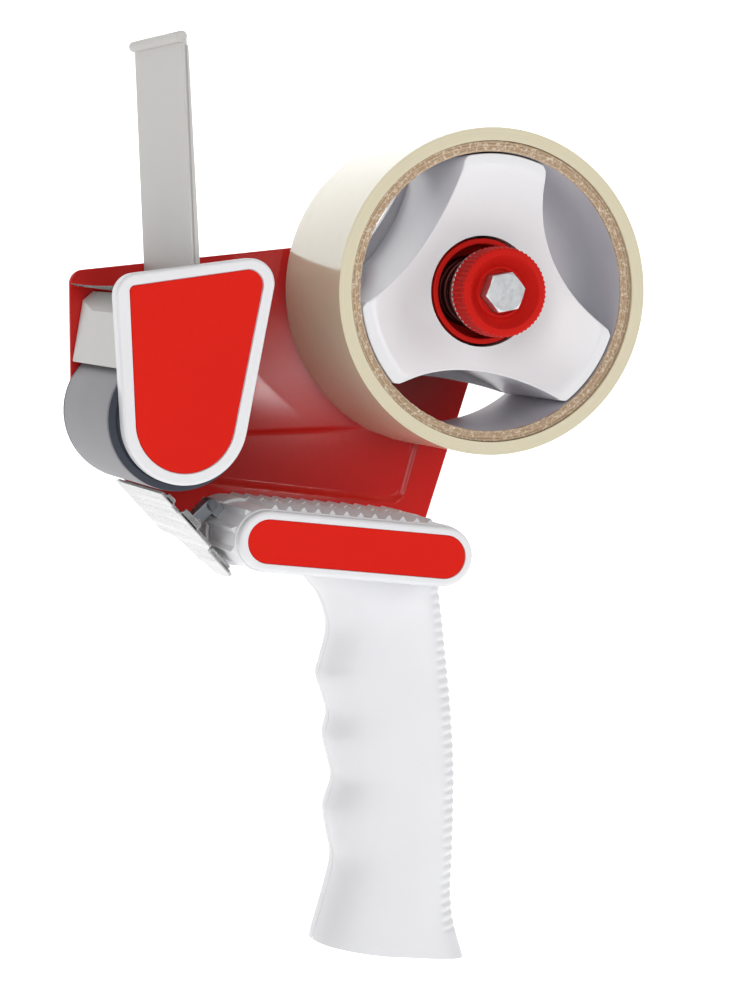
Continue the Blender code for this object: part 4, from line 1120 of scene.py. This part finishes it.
def clear_tape():
    """Clear film wound tight: a cream body under a hard gloss, with thin wound layers on the cut face."""
    made, tree, shader = shader_of("clear_tape")
    wound = placed(tree, wound_layers, {"Layers": 2600.0, "Waver": 0.0003, "Fibre Scale": 260.0})
    drift = placed(tree, surface_grain, {"Grain Scale": 120.0, "Tone Scale": 25.0})
    specks = placed(tree, dust_specks, {"Cell Scale": 160.0, "Dot Size": 0.03, "Share": 0.10})
    cream = mixed(tree, wound["Layer"], (0.66, 0.59, 0.41), (0.77, 0.72, 0.56))
    fed(tree, shader, {
        "Base Color": mixed(tree, specks["Specks"], cream, (0.93, 0.93, 0.90)),
        "Roughness": ranged(tree, drift["Tone"], 0.10, 0.20, 0.3, 0.7),
        "IOR": 1.55, "Coat Weight": 0.35, "Coat IOR": 1.45, "Coat Roughness": 0.06,
        "Subsurface Weight": 0.25, "Subsurface Radius": (0.006, 0.005, 0.003),
        "Normal": bump(tree, drift["Grain"], 0.00003),
    })
    return made


CORE_STEPS = 360


def wound_core():
    """A ring with rough cut ends: the near end's layers stand out unevenly and its inner lip is torn."""
    profile = [(CORE_BORE_R + 0.0007 * k, core_low.y) for k in range(4)]
    profile += [(CORE_R, core_low.y), (CORE_R, core_high.y), (CORE_BORE_R, core_high.y)]
    profile += [(CORE_BORE_R, core_low.y + 0.003), (CORE_BORE_R, core_low.y + 0.0012)]
    core = turned(profile, *HUB_AXIS, CORE_STEPS, closed=True)
    for v in core.verts:
        r = hypot(v.co.x - hub_at.x, v.co.z - hub_at.z)
        a = atan2(v.co.z - hub_at.z, v.co.x - hub_at.x)
        if v.co.y < core_low.y + 0.0001:
            rough = noise(Vector((cos(a) * 60, sin(a) * 60, r * 2500)))
            v.co.y += 0.00022 + 0.00022 * rough
            if r < CORE_BORE_R + 0.0002:
                tear = noise(Vector((cos(a) * 26, sin(a) * 26, 4.0)))
                tear += 0.5 * noise(Vector((cos(a) * 90, sin(a) * 90, 9.0)))
                v.co.y += 0.0003 + 0.0009 * max(0.0, tear)
                grow = 1 + 0.014 * max(0.0, -tear)
                v.co.x = hub_at.x + (v.co.x - hub_at.x) * grow
                v.co.z = hub_at.z + (v.co.z - hub_at.z) * grow
    return core


core = piece("core_wound_board", wound_core(), cardboard_edge(), "roll", "cardboard", "tape_core")
core.data.materials.append(
    mottled("core_liner", 500.0, 35.0, "Tone", (0.46, 0.45, 0.50), (0.60, 0.59, 0.64), 0.55, 0.00003)
)
for face in core.data.polygons:
    spot = face.center
    r = hypot(spot.x - hub_at.x, spot.z - hub_at.z)
    if r < CORE_BORE_R + 0.0002 and core_low.y + 0.0015 < spot.y < core_high.y - 0.0005:
        face.material_index = 1


def wound_tape():
    """The tape ring, its cut face very slightly stepped from layer to layer, and its rim rounded."""
    near, far, edge = tape_low.y, tape_high.y, 0.0001
    profile = [(TAPE_BORE_R, far), (TAPE_BORE_R, near + edge), (TAPE_BORE_R + edge, near)]
    profile += [(TAPE_R - edge, near), (TAPE_R, near + edge), (TAPE_R, far - edge), (TAPE_R - edge, far)]
    return turned(profile, *HUB_AXIS, 256, closed=True)


piece("tape_wound_film", wound_tape(), clear_tape(), "roll", "clear_tape", "tape_roll")

# ---------------------------------------------------------------- Brake
# A red cup fixed on the spindle, a felt ring behind it that rubs the hub, a coil spring in the cup, a
# bright washer on the spring, and a red knurled knob whose hexagon bolt loads the spring.
cup_low, cup_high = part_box("brake_cup")
CUP_R, CUP_BORE, CUP_FOOT_BORE, CUP_FLOOR = 0.0145, 0.0130, 0.0073, 0.0030
cup = [(CUP_BORE, cup_low.y), (CUP_R, cup_low.y), (CUP_R, cup_high.y), (CUP_FOOT_BORE, cup_high.y)]
cup += [(CUP_FOOT_BORE, CUP_FLOOR), (CUP_BORE, CUP_FLOOR)]
knob_red = red_coat("knob_red", (0.60, 0.014, 0.009), (0.52, 0.010, 0.007), 0.40, 900.0, 0.00002, 0.0)
cup_solid = turned(cup, *HUB_AXIS, 128, closed=True, soften=0.00035)
piece("brake_cup_moulding", cup_solid, knob_red, "frame", "red_plastic", "brake_cup")

soot, ash = (0.03, 0.03, 0.035), (0.14, 0.14, 0.15)
pressed_felt = mottled("pressed_felt", 2600.0, 300.0, "Grain", soot, ash, 1.0, 0.0002)
felt_low, felt_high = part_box("brake_felt")
FELT_BORE, FELT_R, WASHER_BORE, WASHER_R = 0.0098, 0.0143, 0.0034, 0.0118
felt = turned_ring(*HUB_AXIS, FELT_BORE, FELT_R, felt_low.y, felt_high.y, 96, 0.0003)
piece("brake_felt_ring", felt, pressed_felt, "frame", "felt", "brake_felt")

washer_low, washer_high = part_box("brake_washer")
knob_low, knob_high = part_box("brake_knob")
bolt_low, bolt_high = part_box("knob_bolt")
washer = turned_ring(*HUB_AXIS, WASHER_BORE, WASHER_R, washer_low.y, washer_high.y, 96, 0.00025)
piece("spring_washer_plate", washer, bright_steel, "washer", "bright_steel", "brake_washer")
# The brake coil's metal colour is dark maroon: painted shade inside the cup plus a painted reflection of the
# red cup and knob round it.
painted_red_shade_steel = metal("painted_red_shade_steel", (0.15, 0.045, 0.042), (0.08, 0.022, 0.021), 0.42, 700.0)
COIL_R, COIL_WIRE, COIL_NEAR, COIL_FAR, COIL_TURNS = 0.0092, 0.0008, washer_high.y + 0.0009, 0.0015, 6
coil_spring(
    "brake_coil", *HUB_AXIS, COIL_R, COIL_WIRE, COIL_NEAR, COIL_FAR, COIL_TURNS,
    "washer", "brake_spring", painted_red_shade_steel,
)

KNOB_R, KNURLS, KNURL_DEPTH = 0.0123, 56, 0.0006
KNOB_NEAR, KNOB_FAR = knob_low.y, knob_high.y
RECESS_R, RECESS_Y = 0.00975, KNOB_NEAR + 0.0035


def knurled_knob():
    """The knob's body, turned and then pressed in along grooves that fade out at its near edge."""
    profile = [(0.00325, KNOB_FAR), (0.0110, KNOB_FAR), (KNOB_R - 0.0003, KNOB_FAR - 0.0003)]
    profile += [(KNOB_R, KNOB_FAR - 0.0006), (KNOB_R, KNOB_NEAR + 0.0024), (KNOB_R, KNOB_NEAR + 0.0010)]
    profile += [(KNOB_R - 0.00015, KNOB_NEAR + 0.0004), (KNOB_R - 0.0006, KNOB_NEAR + 0.0001)]
    profile += [(KNOB_R - 0.0009, KNOB_NEAR), (RECESS_R + 0.0003, KNOB_NEAR), (RECESS_R, KNOB_NEAR + 0.0003)]
    profile += [(RECESS_R - 0.0012, RECESS_Y - 0.0014), (RECESS_R - 0.0022, RECESS_Y - 0.0005)]
    profile += [(0.0073, RECESS_Y - 0.0003), (0.0069, RECESS_Y - 0.0007), (0.00625, RECESS_Y - 0.0007)]
    profile += [(0.0061, RECESS_Y), (0.00325, RECESS_Y)]
    knob = turned(profile, *HUB_AXIS, KNURLS * 8, closed=True)
    for v in knob.verts:
        dx, dz = v.co.x - hub_at.x, v.co.z - hub_at.z
        r = hypot(dx, dz)
        if r < KNOB_R - 0.0004:
            continue
        groove = 0.5 - 0.5 * cos(KNURLS * atan2(dz, dx))
        reach = clamped((v.co.y - KNOB_NEAR - 0.0001) / 0.0007)
        held = r - KNURL_DEPTH * (groove**0.8) * reach
        v.co.x, v.co.z = hub_at.x + dx * held / r, hub_at.z + dz * held / r
    return knob


BOLT_AF, BOLT_R, BOLT_HEAD, BOLT_TURN = 0.0100, 0.00295, 0.0055, radians(20)
socket = hexagon(*HUB_AXIS, BOLT_AF + 0.0003, RECESS_Y - 0.001, RECESS_Y + 0.0012, turn=BOLT_TURN)
knob = knurled_knob()
piece("knurled_knob", knob, knob_red, "knob", "red_plastic", "brake_knob", sharp=30, cuts=[socket])
bolt = hexagon(*HUB_AXIS, BOLT_AF, bolt_low.y, bolt_low.y + BOLT_HEAD, turn=BOLT_TURN)
absorb(bolt, turned_ring(*HUB_AXIS, 0, BOLT_R, bolt_low.y + BOLT_HEAD - 0.001, bolt_high.y, 40, 0.0003))
piece("knob_hex_bolt", bolt, zinc, "knob", "zinc_steel", "knob_bolt", sharp=20)
